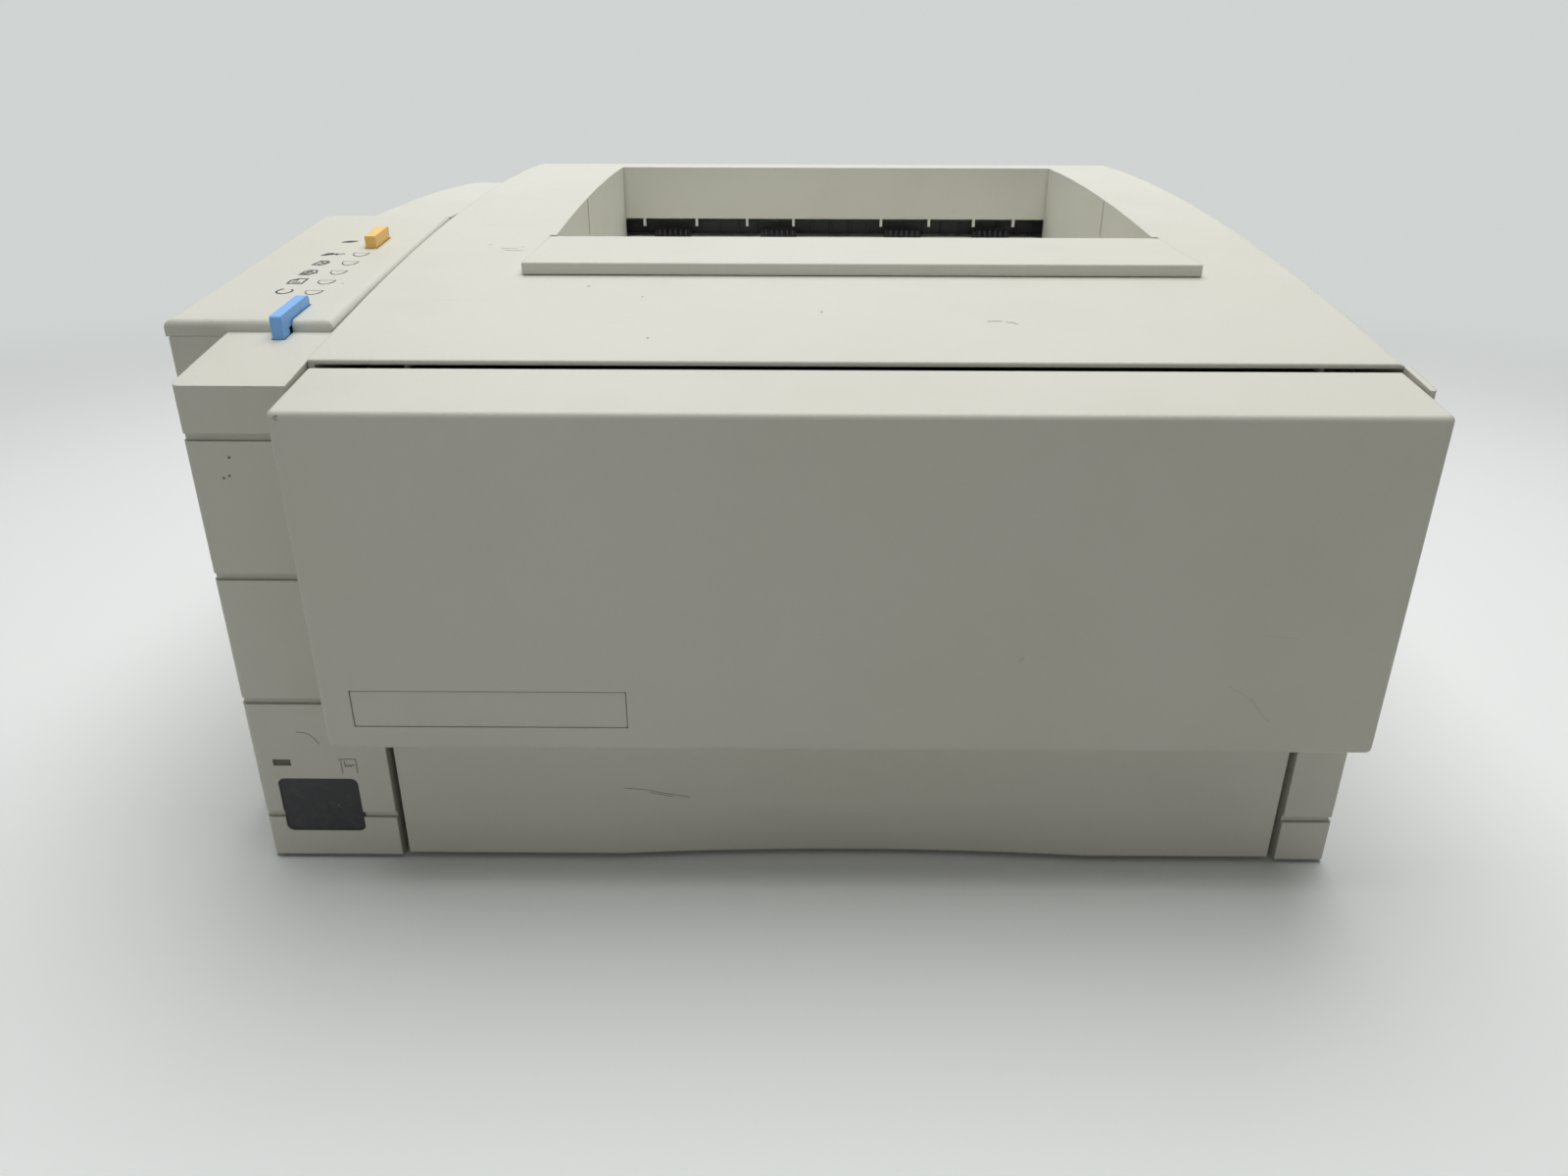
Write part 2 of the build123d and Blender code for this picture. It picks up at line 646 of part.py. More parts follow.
# Rear door for the straight paper exit, hinged along its bottom edge
with BuildPart() as rear_door:
    block(rear_door_left_x, rear_door_right_x, rear_y, back_y, rear_hinge_z, rear_door_top_z)
    rod(rear_door_left_x, rear_door_right_x, rear_hinge_y, rear_hinge_z, rear_bead_radius)
    for rib in range(7):
        rib_x = rear_door_left_x + 8 + rib * (rear_door_right_x - rear_door_left_x - 16) / 6
        side_prism(rib_x - 1, rib_x + 1, [
            (rear_y, rear_door_bottom_z + 9),
            (rear_y, rear_door_top_z - 6),
            (rear_y - 9, rear_door_top_z - 20),
            (rear_y - 9, rear_door_bottom_z + 22),
        ])
    for side in (-1, 1):
        edge_x = rear_door_left_x if side < 0 else rear_door_right_x
        pin_x = min(edge_x, edge_x + side * (wall + 0.5))
        rod(pin_x, pin_x + wall + 0.5, rear_hinge_y, rear_hinge_z, door_axle_radius)
    latch_z = rear_door_top_z - 6
    block(bin_centre_x - 12, bin_centre_x + 12, back_y - 1.2, back_y + 1, latch_z - 4, latch_z + 4,
          Mode.SUBTRACT)
save(rear_door.part, "rear_door")

# Top cover with the output bin sunk into it
cover_back_z = cover_hinge_z - sqrt(hinge_lobe ** 2 - (cover_back_y - cover_hinge_y) ** 2)
flap_axis_y = bin_front_y - flap_thickness / 2
flap_axis_z = crown(flap_axis_y) - 1.5
flap_front_z = crown(flap_front_y) + flap_rise
bin_floor_front_z = flap_axis_z - flap_thickness / 2 - 0.6
bin_floor_middle = (bin_front_y + 90.8, bin_floor_back_z + 6.0)
bin_wall_foot_z = bin_floor_back_z + 16.0
bin_flat_y = bin_back_y - 8.0
lug_left_x = frame_left_x + frame_sheet + 1.0
lug_right_x = frame_right_x - frame_sheet - 1.0
lug_width = 4.0
lug_radius = 6.0
tab_width = 1.6
tab_steps = (-115.0, -83.5, -53.0, -25.0, 28.0, 57.0, 84.0, 108.0)
tab_places = [bin_centre_x + step for step in tab_steps]


def flap_under_z(y):
    """Height of the closed flap's underside at y."""
    share = (y - flap_front_y) / (flap_axis_y - flap_front_y)
    return flap_front_z - flap_thickness + share * (flap_axis_z + flap_thickness / 2 - flap_front_z)


def bin_floor(drop, top_z, x0, x1, y1, mode):
    """The space over the bin's curved floor up to top_z, from x0 to x1 and back to y1."""
    first = (bin_front_y, bin_floor_front_z - drop)
    bend = (bin_floor_middle[0], bin_floor_middle[1] - drop)
    last = (bin_flat_y, bin_floor_back_z - drop)
    with BuildSketch(Plane.YZ.offset(x0)) as outline:
        with BuildLine():
            ThreePointArc(first, bend, last)
            Polyline(last, (y1, last[1]), (y1, top_z), (bin_front_y, top_z), first)
        make_face()
    extrude(outline.sketch, amount=x1 - x0, mode=mode)


def hinge_lobe_plate(x0, x1):
    """The round lobe of a side skirt about the cover's hinge, in the open part."""
    with BuildSketch(Plane((x0, cover_hinge_y, cover_hinge_z), x_dir=(0, 1, 0), z_dir=(1, 0, 0))) as lobe:
        Circle(hinge_lobe)
        with Locations((0, 1.5 * hinge_lobe)):
            Rectangle(3 * hinge_lobe, 2.2 * hinge_lobe, mode=Mode.SUBTRACT)
        with Locations((cover_back_y - cover_hinge_y + hinge_lobe, 0)):
            Rectangle(2 * hinge_lobe, 3 * hinge_lobe, mode=Mode.SUBTRACT)
    extrude(lobe.sketch, amount=x1 - x0)


with BuildPart() as top_cover:
    under_crown(cover_left_x, right_x, cover_front_y, cover_back_y, 150)
    roof = top_cover.faces().sort_by(Axis.Z)[-1]
    fillet(roof.edges().sort_by(Axis.X)[-1], 4.0)
    roof = top_cover.faces().sort_by(SortBy.AREA)[-2:].sort_by(Axis.Z)[-1]
    fillet(roof.edges().sort_by(Axis.Y)[-1], 3.5)
    roof = top_cover.faces().sort_by(SortBy.AREA)[-2:].sort_by(Axis.Z)[-1]
    fillet(roof.edges().sort_by(Axis.Y)[0], 0.8)
    under_crown(cover_left_x + wall, right_x - wall, cover_front_y + wall, cover_back_y - wall, 100, wall,
                Mode.SUBTRACT)
    under_crown(cover_left_x - 1, right_x + 1, cover_front_y - 1, cover_back_y + 1, 100, cover_skirt,
                Mode.SUBTRACT)
    block(cover_left_x + wall, right_x - wall, cover_front_y - 1, cover_front_y + wall + 0.1, 140,
          crown(cover_front_y) - cover_lip, Mode.SUBTRACT)
    side_prism(door_right_x, right_x + 1, [
        (cover_front_y - 1, crown(cover_front_y) - 1.5),
        (cover_front_y, crown(cover_front_y) - 1.5),
        (cover_front_y + 2, crown(cover_front_y) - cover_skirt - 1),
        (cover_front_y - 1, crown(cover_front_y) - cover_skirt - 1),
    ], Mode.SUBTRACT)
    block(cover_left_x, right_x, cover_back_y - wall, cover_back_y, cover_back_z, cover_hinge_z + 3)
    for plate_x in (cover_left_x, right_x - wall):
        hinge_lobe_plate(plate_x, plate_x + wall)
    for lug_x in (lug_left_x, lug_right_x - lug_width):
        rod(lug_x, lug_x + lug_width, cover_hinge_y, cover_hinge_z, lug_radius)
        block(lug_x, lug_x + lug_width, cover_hinge_y - lug_radius, cover_hinge_y + lug_radius,
              cover_hinge_z, crown(cover_hinge_y) - 1.5)
        rod(lug_x - 1, lug_x + lug_width + 1, cover_hinge_y, cover_hinge_z, hinge_pin_radius, Mode.SUBTRACT)
    side_prism(flap_left_x - 6, flap_right_x + 6, [
        (flap_front_y + 2, crown(flap_front_y + 2) - 1),
        (flap_front_y + 2, crown(flap_front_y + 2) - wall - 0.5),
        (flap_axis_y - 8, flap_under_z(flap_axis_y - 8) - wall - 0.5),
        (bin_front_y + 3, flap_under_z(flap_axis_y) - wall - 0.5),
        (bin_front_y + 3, crown(bin_front_y + 3) - 1),
    ])
    bin_floor(bin_wall, bin_wall_foot_z + 5, bin_left_x - bin_wall, bin_right_x + bin_wall,
              bin_back_y + bin_wall, Mode.ADD)
    side_prism(bin_left_x - bin_wall, bin_right_x + bin_wall, [
        (bin_front_y, bin_wall_foot_z),
        (bin_front_y, crown(bin_front_y) - 1),
        (bin_floor_middle[0], crown(bin_floor_middle[0]) - 1),
        (bin_back_y + bin_wall, crown(bin_back_y) - 1),
        (bin_back_y + bin_wall, bin_wall_foot_z),
    ])
    bin_floor(0, 260, bin_left_x, bin_right_x, bin_back_y, Mode.SUBTRACT)
    block(bin_left_x, bin_right_x, bin_back_y - 1, bin_back_y + bin_wall + 1, bin_floor_back_z,
          bin_slot_top_z,
          Mode.SUBTRACT)
    side_prism(flap_left_x - flap_gap, flap_right_x + flap_gap, [
        (flap_front_y + 2, 240),
        (flap_front_y + 2, flap_under_z(flap_front_y + 2) - flap_gap),
        (flap_axis_y, flap_under_z(flap_axis_y) - flap_gap),
        (bin_front_y + 0.8, flap_under_z(flap_axis_y) - flap_gap),
        (bin_front_y + 0.8, 240),
    ], Mode.SUBTRACT)
    rod(flap_left_x - flap_pin_length - 0.5, flap_right_x + flap_pin_length + 0.5, flap_axis_y, flap_axis_z,
        flap_pin_radius + running_gap, Mode.SUBTRACT)
    for tab_x in tab_places:
        block(tab_x - tab_width / 2, tab_x + tab_width / 2, bin_back_y, bin_back_y + bin_wall,
              bin_slot_top_z - 4.3, bin_slot_top_z + 1)
    for rib_x in (cover_left_x + 27.6, right_x - 24.5):
        crown_strip(rib_x, rib_x + 1.6, cover_front_y + 8, cover_hinge_y - 12, wall - 0.3, 5.0)
save(top_cover.part, "top_cover")

# Two steel pins that carry the top cover in the side frames' ears
pin_reach = 2.5
with BuildPart() as cover_hinge_pins:
    rod(frame_left_x - pin_reach + 1.0, lug_left_x + lug_width, cover_hinge_y, cover_hinge_z,
        hinge_pin_radius)
    rod(lug_right_x - lug_width, frame_right_x + pin_reach - 1.0, cover_hinge_y, cover_hinge_z,
        hinge_pin_radius)
save(cover_hinge_pins.part, "cover_hinge_pins")

# Flap in front of the bin, which folds up and back as a paper support
with BuildPart() as output_flap:
    with BuildSketch(Plane.YZ.offset(flap_left_x)) as flap_side:
        flap_half = flap_thickness / 2
        with BuildLine():
            Polyline(
                (flap_axis_y, flap_axis_z - flap_half),
                (flap_front_y + flap_lip, flap_under_z(flap_front_y + flap_lip)),
                (flap_front_y + flap_lip, crown(flap_front_y + flap_lip) + flap_gap),
                (flap_front_y, crown(flap_front_y) + flap_gap),
                (flap_front_y, flap_front_z),
                (flap_axis_y, flap_axis_z + flap_half),
            )
            ThreePointArc((flap_axis_y, flap_axis_z + flap_half), (flap_axis_y + flap_half, flap_axis_z),
                          (flap_axis_y, flap_axis_z - flap_half))
        make_face()
    extrude(flap_side.sketch, amount=flap_right_x - flap_left_x)
    fillet(output_flap.edges().filter_by(Axis.X).group_by(Axis.Y)[0].sort_by(Axis.Z)[-1], 0.8)
    for pin_x in (flap_left_x - flap_pin_length, flap_right_x):
        rod(pin_x, pin_x + flap_pin_length, flap_axis_y, flap_axis_z, flap_pin_radius)
save(output_flap.part, "output_flap")

# Front door, a deep shell whose ledge closes against the top cover
door_top_drop = 0.4
ledge_drop = 1.4
door_round = 2.6
ledge_foot_z = 168.0
ear_left_x = frame_left_x + 5.0
ear_right_x = frame_right_x - 10.0
door_lug_width = 3.0
bed_left_x = door_left_x + 18.5
bed_right_x = door_right_x - 19.5
bed_bottom_z = 68.0
bed_top_z = 165.0
bed_front_y = door_back_y + 11.8
bed_sheet = 2.4
rack_low_z = 86.0
rack_high_z = 120.0
badge_left_x = door_left_x + 10.7
badge_right_x = badge_left_x + 89.2
badge_bottom_z = 65.4
badge_top_z = 78.3
badge_depth = 1.0
door_rib_places = [bin_centre_x + step for step in (-144.0, -94.0, -44.0, 50.0, 98.0, 130.0)]
with BuildPart() as front_door:
    with BuildSketch(Plane.YZ.offset(door_left_x)) as door_side:
        with BuildLine():
            Polyline(
                (front_y, crown(front_y, door_top_drop)),
                (ledge_back_y, crown(ledge_back_y, ledge_drop)),
                (ledge_back_y, ledge_foot_z),
                (door_back_y, ledge_foot_z - 6),
                (door_back_y, door_bottom_z + 3),
                (door_back_y - 2.5, door_bottom_z),
                (front_y, door_bottom_z),
                (front_y, crown(front_y, door_top_drop)),
            )
        make_face()
    extrude(door_side.sketch, amount=door_right_x - door_left_x)
    fillet(front_door.edges().filter_by(Axis.Z).group_by(Axis.Y)[0], door_round)
    fillet(front_door.faces().sort_by(Axis.Y)[0].edges(), door_round - 0.5)
    side_prism(door_left_x + door_skin, door_right_x - door_skin, [
        (front_y + door_skin, door_bottom_z + door_skin),
        (front_y + door_skin, crown(front_y + door_skin, door_top_drop + door_skin)),
        (ledge_back_y - door_skin, crown(ledge_back_y - door_skin, ledge_drop + door_skin)),
        (ledge_back_y - door_skin, ledge_foot_z - 10),
        (ledge_back_y + 20, ledge_foot_z - 10),
        (ledge_back_y + 20, door_bottom_z + door_skin),
    ], Mode.SUBTRACT)
    for rib_x in door_rib_places:
        block(rib_x, rib_x + 2, front_y + door_skin - 0.5, bed_front_y, door_bottom_z + 10, bed_top_z - 3)
    block(door_rib_places[0] + 5, door_rib_places[-1] + 3, door_back_y + 3, bed_front_y + 1, rack_low_z,
          rack_high_z, Mode.SUBTRACT)
    for lug_x in (ear_left_x + door_ear_width + 0.4, ear_right_x - 0.4 - door_lug_width):
        rod(lug_x, lug_x + door_lug_width, door_hinge_y, door_hinge_z, door_ear_radius)
        block(lug_x, lug_x + door_lug_width, front_y + door_skin - 0.5, door_hinge_y, door_bottom_z + 1,
              door_hinge_z + door_ear_radius)
        rod(lug_x - 1, lug_x + door_lug_width + 1, door_hinge_y, door_hinge_z, door_pin_radius,
            Mode.SUBTRACT)
    for ear_x in (ear_left_x, ear_right_x):
        block(ear_x - 0.4, ear_x + door_ear_width + 0.4, door_hinge_y - 5.5, door_back_y + 1,
              door_bottom_z - 1, door_bottom_z + door_skin + 1, Mode.SUBTRACT)
    block(badge_left_x - 0.2, badge_right_x + 0.2, front_y - 1, front_y + badge_depth, badge_bottom_z - 0.2,
          badge_top_z + 0.2, Mode.SUBTRACT)
save(front_door.part, "front_door")

with BuildPart() as badge_plate:
    block(badge_left_x, badge_right_x, front_y + 0.2, front_y + badge_depth, badge_bottom_z, badge_top_z)
    fillet(badge_plate.edges().filter_by(Axis.Y), 0.6)
save(badge_plate.part, "badge_plate")

with BuildPart() as door_hinge_pins:
    rod(ear_left_x - 1, ear_left_x + door_ear_width + 0.4 + door_lug_width, door_hinge_y, door_hinge_z,
        door_pin_radius)
    rod(ear_right_x - 0.4 - door_lug_width, ear_right_x + door_ear_width + 1, door_hinge_y, door_hinge_z,
        door_pin_radius)
save(door_hinge_pins.part, "door_hinge_pins")

# Tray bed: the sheet that the paper lies on when the front door is folded down
guide_travel = 60.0
guide_link_width = 7.0
guide_slot_low_z = 89.5
guide_slot_high_z = 110.0
guide_slot_height = 7.0
guide_fin = 2.5
guide_left_x = bin_centre_x - 111.0
guide_right_x = bin_centre_x + 111.0
with BuildPart() as tray_bed:
    block(bed_left_x, bed_right_x, bed_front_y, bed_front_y + bed_sheet, bed_bottom_z, bed_top_z)
    fillet(tray_bed.edges().filter_by(Axis.Y), 4.0)
    block(guide_left_x - 0.5, guide_left_x + guide_travel + guide_link_width + 0.5, bed_front_y - 1,
          bed_front_y + bed_sheet + 1, guide_slot_low_z - 0.5, guide_slot_low_z + guide_slot_height + 0.5,
          Mode.SUBTRACT)
    block(guide_right_x - guide_travel - guide_link_width - 0.5, guide_right_x + 0.5, bed_front_y - 1,
          bed_front_y + bed_sheet + 1, guide_slot_high_z - 0.5, guide_slot_high_z + guide_slot_height + 0.5,
          Mode.SUBTRACT)
save(tray_bed.part, "tray_bed")

# Paper guides on the tray bed, tied together by two racks and a pinion
rack_module = 2.0
pinion_teeth = 10
pinion_x = bin_centre_x
pinion_z = 103.0
rack_back_y = bed_front_y - 0.3
rack_front_y = rack_back_y - 3.4
rack_pitch = pi * rack_module


def rack(x0, x1, pitch_z, side):
    """A toothed bar from x0 to x1, its teeth on the given side of pitch_z, in the open part."""
    root_z = pitch_z + side * 2.4
    back_z = pitch_z + side * 6.5
    with Locations(((x0 + x1) / 2, (rack_front_y + rack_back_y) / 2, (root_z + back_z) / 2)):
        Box(x1 - x0, rack_back_y - rack_front_y, abs(back_z - root_z))
    count = int((x1 - x0) / rack_pitch / 2) - 1
    for step in range(-count, count + 1):
        tooth_x = pinion_x + step * rack_pitch
        if x0 + 3 < tooth_x < x1 - 3:
            with BuildSketch(Plane((tooth_x, rack_back_y, pitch_z), x_dir=(1, 0, 0),
                             z_dir=(0, -1, 0))) as tooth:
                with BuildLine():
                    Polyline(
                        (-2.2, side * 2.6), (-0.85, -side * 1.5), (0.85, -side * 1.5), (2.2, side * 2.6),
                        close=True,
                    )
                make_face()
            extrude(tooth.sketch, amount=rack_back_y - rack_front_y)


def paper_guide(fin_x, inward, pitch_z, side, slot_z):
    """One guide: the fin on the bed, its link through the slot and its rack, in the open part."""
    fin_y = bed_front_y + bed_sheet + 0.3
    far_x = fin_x + inward * guide_fin
    block(min(fin_x, far_x), max(fin_x, far_x), fin_y, fin_y + 9.0, bed_bottom_z + 4, bed_bottom_z + 72)
    link_x = fin_x + inward * guide_link_width
    block(min(fin_x, link_x), max(fin_x, link_x), rack_back_y - 0.5, fin_y + 1.5, slot_z,
          slot_z + guide_slot_height)
    rack_x = pinion_x + inward * 8.0
    rack(min(fin_x, rack_x), max(fin_x, rack_x), pitch_z, side)


with BuildPart() as left_paper_guide:
    paper_guide(guide_left_x, 1, pinion_z - rack_module * pinion_teeth / 2, -1, guide_slot_low_z)
save(left_paper_guide.part, "left_paper_guide")

with BuildPart() as right_paper_guide:
    paper_guide(guide_right_x, -1, pinion_z + rack_module * pinion_teeth / 2, 1, guide_slot_high_z)
save(right_paper_guide.part, "right_paper_guide")

with BuildPart() as guide_pinion:
    pinion_y = rack_back_y
    with BuildSketch(Plane((pinion_x, pinion_y, pinion_z), x_dir=(1, 0, 0), z_dir=(0, -1, 0))) as wheel:
        with BuildLine():
            Polyline(*gear_points(pinion_teeth, rack_module, pi / 2 + pi / pinion_teeth), close=True)
        make_face()
    extrude(wheel.sketch, amount=rack_back_y - rack_front_y)
    with Locations(Location((pinion_x, (bed_front_y + pinion_y) / 2, pinion_z), (90, 0, 0))):
        Cylinder(3.0, bed_front_y - pinion_y)
save(guide_pinion.part, "guide_pinion")

# Cassette: an open tray that slides out to the front
tray_left_x = bay_left_wall_x + 0.8
tray_right_x = bay_right_wall_x - 0.8
tray_front_y = column_y + 3.7
tray_back_y = tray_front_y + cassette_length
tray_bottom_z = floor_top_z + runner_gap
tray_top_z = 46.0
stack_left_x = bin_centre_x - 108.0
stack_right_x = bin_centre_x + 108.0
lift_axis_y = tray_front_y + 201.2
lift_axis_z = tray_bottom_z + cassette_wall + 2.0
lift_pin_radius = 1.2
lift_sheet = 1.5
lift_front_y = tray_front_y + 10.0
pickup_y = front_y + 74.0
pickup_z = 57.3
pickup_radius = 16.0
pickup_flat = 10.0
pickup_left_x = bin_centre_x - 20.0
pickup_right_x = bin_centre_x + 20.0
pickup_clearance = 1.5
with BuildPart() as cassette_tray:
    block(tray_left_x, tray_right_x, tray_front_y, tray_back_y, tray_bottom_z, tray_top_z)
    fillet(cassette_tray.edges().filter_by(Axis.Z).group_by(Axis.Y)[-1], 6.0)
    block(tray_left_x + cassette_wall, tray_right_x - cassette_wall, tray_front_y + cassette_wall,
          tray_back_y - cassette_wall, tray_bottom_z + cassette_wall, tray_top_z + 1, Mode.SUBTRACT)
    for stack_x in (stack_left_x - cassette_wall, stack_right_x):
        block(stack_x, stack_x + cassette_wall, tray_front_y + 1, tray_back_y - 28.8, tray_bottom_z + 1,
              tray_top_z - 4)
    block(pickup_left_x - pickup_clearance, pickup_right_x + pickup_clearance,
          tray_back_y - cassette_wall - 1, tray_back_y + 1, pickup_z - pickup_radius - pickup_clearance,
          tray_top_z + 1, Mode.SUBTRACT)
    rod(stack_left_x - 3, stack_right_x + 3, lift_axis_y, lift_axis_z, lift_pin_radius + running_gap,
        Mode.SUBTRACT)
    block(grip_left_x - 2, grip_right_x + 2, tray_front_y - 1, tray_front_y + 6.5, 0, 35, Mode.SUBTRACT)
    for rail_x in (bin_centre_x - 24, bin_centre_x + 22):
        block(rail_x, rail_x + 2, lift_axis_y + 50, tray_back_y - 1, tray_bottom_z + 1,
              tray_bottom_z + cassette_wall + 2)
save(cassette_tray.part, "cassette_tray")

# Cassette front with its scooped hand grip
face_y = column_y + 0.7
grip_sections = (
    (-86.6, 29.0, 0.06),
    (-44.0, 22.9, 2.6),
    (-2.6, 20.4, 3.5),
    (38.8, 22.9, 2.6),
    (81.5, 29.3, 0.06),
)


def grip_points(crease_z, depth):
    """Side outline of the scoop: from the crease down and back by depth at the bottom."""
    return [(face_y - 1, crease_z), (face_y, crease_z), (face_y + depth, 1.0), (face_y - 1, 1.0)]


with BuildPart() as cassette_front:
    block(bay_left_x + cassette_side_gap, bay_right_x - cassette_side_gap, face_y, tray_front_y,
          cassette_bottom_z, cassette_top_z)
    block(grip_left_x, grip_right_x, tray_front_y - 1, tray_front_y + 6, cassette_bottom_z, 33)
    cuts = []
    for step, crease_z, depth in grip_sections:
        with BuildSketch(Plane.YZ.offset(bin_centre_x + step)) as cut:
            with BuildLine():
                Polyline(*grip_points(crease_z, depth), close=True)
            make_face()
        cuts.append(cut.sketch.face())
    loft(cuts, mode=Mode.SUBTRACT)
save(cassette_front.part, "cassette_front")

# Lift plate, its springs and the length stop inside the cassette
lift_lean = 8.6
with BuildPart() as lift_plate:
    with BuildSketch(Plane.XY.offset(-lift_sheet / 2)) as lift_outline:
        lift_length = lift_axis_y - lift_front_y
        Rectangle(stack_right_x - stack_left_x - 1, lift_length, align=(Align.CENTER, Align.MAX))
        with Locations((0, -lift_length)):
            Rectangle(52, 24, mode=Mode.SUBTRACT)
    extrude(amount=lift_sheet)
    with Locations(Location((0, 0, 0), (0, 90, 0))):
        Cylinder(lift_pin_radius, stack_right_x - stack_left_x + 3)
lift_place = Location((bin_centre_x, lift_axis_y, lift_axis_z), (-lift_lean, 0, 0))
save(lift_place * lift_plate.part, "lift_plate")

spring_y = tray_front_y + 41.2
spring_top_z = lift_axis_z + (lift_axis_y - spring_y) * sin(radians(lift_lean)) - 1.5
with BuildPart() as lift_springs:
    for spring_x in (bin_centre_x - 54, bin_centre_x + 54):
        with Locations((spring_x, spring_y, (tray_bottom_z + cassette_wall + spring_top_z) / 2)):
            Cylinder(6.0, spring_top_z - tray_bottom_z - cassette_wall)
            Cylinder(4.6, spring_top_z, mode=Mode.SUBTRACT)
save(lift_springs.part, "lift_springs")

stop_y = tray_front_y + 305.2
with BuildPart() as length_stop:
    block(bin_centre_x - 21.6, bin_centre_x + 21.6, stop_y, stop_y + 20,
          tray_bottom_z + cassette_wall + 0.3, tray_bottom_z + cassette_wall + 2.8)
    block(bin_centre_x - 18, bin_centre_x + 18, stop_y, stop_y + 2.4, tray_bottom_z + cassette_wall + 1,
          tray_top_z - 6)
    for web_x in (bin_centre_x - 10, bin_centre_x + 8):
        side_prism(web_x, web_x + 2, [(stop_y + 1, tray_top_z - 10), (stop_y + 1, tray_bottom_z + 4),
                                      (stop_y + 18, tray_bottom_z + 4)])
save(length_stop.part, "length_stop")

# Stations of the gear train on the right, each (y, z, teeth, phase)
drum_z = paper_z + drum_radius
press_z = paper_z + 0.7 - press_radius
heat_z = press_z + press_radius + heat_radius + nip_gap
drum_station = (drum_y, drum_z, 27, 0.0)
registration_station = beside(drum_station, -147.5, 14)
idler_1_station = beside(drum_station, 30.0, 27)
motor_station = beside(idler_1_station, 80.0, 12)
idler_2_angle = angle_to_meet(idler_1_station, 27, (fuser_y, press_z), 16, -1)
idler_2_station = beside(idler_1_station, idler_2_angle, 27)
press_station = beside(idler_2_station, direction(idler_2_station, (fuser_y, press_z)), 16)
idler_3_station = beside(press_station, 60.0, 27)
idler_4_angle = angle_to_meet(idler_3_station, 27, (delivery_y, delivery_z), 9, 1)
idler_4_station = beside(idler_3_station, idler_4_angle, 27)
delivery_station = beside(idler_4_station, direction(idler_4_station, (delivery_y, delivery_z)), 9)
shaft_left_x = frame_left_x - 1.0
shaft_right_x = gear_x + gear_width + 0.5
roller_left_x = bin_centre_x - paper_width / 2
roller_right_x = bin_centre_x + paper_width / 2
stations = {
    "idler_gear_1": idler_1_station,
    "idler_gear_2": idler_2_station,
    "idler_gear_3": idler_3_station,
    "idler_gear_4": idler_4_station,
}


def turned_roller(station, radius, x0=roller_left_x, x1=roller_right_x, shaft=journal_radius):
    """A roller on its shaft with the toothed wheel at the right end, in the open part."""
    rod(x0, x1, station[0], station[1], radius)
    rod(shaft_left_x, shaft_right_x, station[0], station[1], shaft)
    train_wheel(station)


with BuildPart() as drum:
    turned_roller(drum_station, drum_radius)
save(drum.part, "drum")

with BuildPart() as registration_roller:
    turned_roller(registration_station, feed_radius)
save(registration_roller.part, "registration_roller")

with BuildPart() as pressure_roller:
    turned_roller(press_station, press_radius)
save(pressure_roller.part, "pressure_roller")

delivery_places = [bin_centre_x + step for step in (-99.0, -34.0, 42.0, 96.0)]
with BuildPart() as delivery_rollers:
    rod(shaft_left_x, shaft_right_x, delivery_y, delivery_z, journal_radius)
    train_wheel(delivery_station)
    for roller_x in delivery_places:
        rod(roller_x - 11, roller_x + 11, delivery_y, delivery_z, delivery_radius)
save(delivery_rollers.part, "delivery_rollers")

with BuildPart() as motor_pinion:
    train_wheel(motor_station)
    rod(frame_right_x - 6, shaft_right_x, motor_station[0], motor_station[1], journal_radius - 0.5)
save(motor_pinion.part, "motor_pinion")

for idler_name, idler_station in stations.items():
    with BuildPart() as idler_gear:
        train_wheel(idler_station)
        rod(frame_right_x, shaft_right_x, idler_station[0], idler_station[1], journal_radius + running_gap,
            Mode.SUBTRACT)
    save(idler_gear.part, idler_name)

transfer_z = drum_z - drum_radius - transfer_radius - nip_gap
with BuildPart() as transfer_roller:
    rod(roller_left_x, roller_right_x, drum_y, transfer_z, transfer_radius)
    rod(shaft_left_x, frame_right_x + 1, drum_y, transfer_z, journal_radius)
save(transfer_roller.part, "transfer_roller")

with BuildPart() as heat_roller:
    rod(roller_left_x, roller_right_x, fuser_y, heat_z, heat_radius)
    rod(shaft_left_x, frame_right_x + 1, fuser_y, heat_z, journal_radius)
save(heat_roller.part, "heat_roller")

# Pickup rollers over the cassette and over the front tray
with BuildPart() as pickup_roller:
    rod(pickup_left_x, pickup_right_x, pickup_y, pickup_z, pickup_radius)
    block(pickup_left_x - 1, pickup_right_x + 1, pickup_y - 20, pickup_y + 20, pickup_z - 20,
          pickup_z - pickup_flat, Mode.SUBTRACT)
    rod(shaft_left_x, frame_right_x + 1, pickup_y, pickup_z, journal_radius)
save(pickup_roller.part, "pickup_roller")

tray_pickup_y = front_y + 62.0
tray_pickup_z = 104.0
tray_pickup_radius = 14.0
with BuildPart() as tray_pickup_roller:
    rod(bin_centre_x - 18, bin_centre_x + 18, tray_pickup_y, tray_pickup_z, tray_pickup_radius)
    rod(shaft_left_x, frame_right_x + 1, tray_pickup_y, tray_pickup_z, journal_radius)
save(tray_pickup_roller.part, "tray_pickup_roller")

# Side frames: pressed sheets that carry every shaft and the top cover's hinge pins
ear_radius = 7.0
arm_front_y = cover_hinge_y - 23.0
arm_back_y = cover_hinge_y - 8.0
through_shafts = (
    drum_station, registration_station, press_station, (delivery_y, delivery_z),
    (drum_y, transfer_z), (fuser_y, heat_z), (pickup_y, pickup_z), (tray_pickup_y, tray_pickup_z),
)


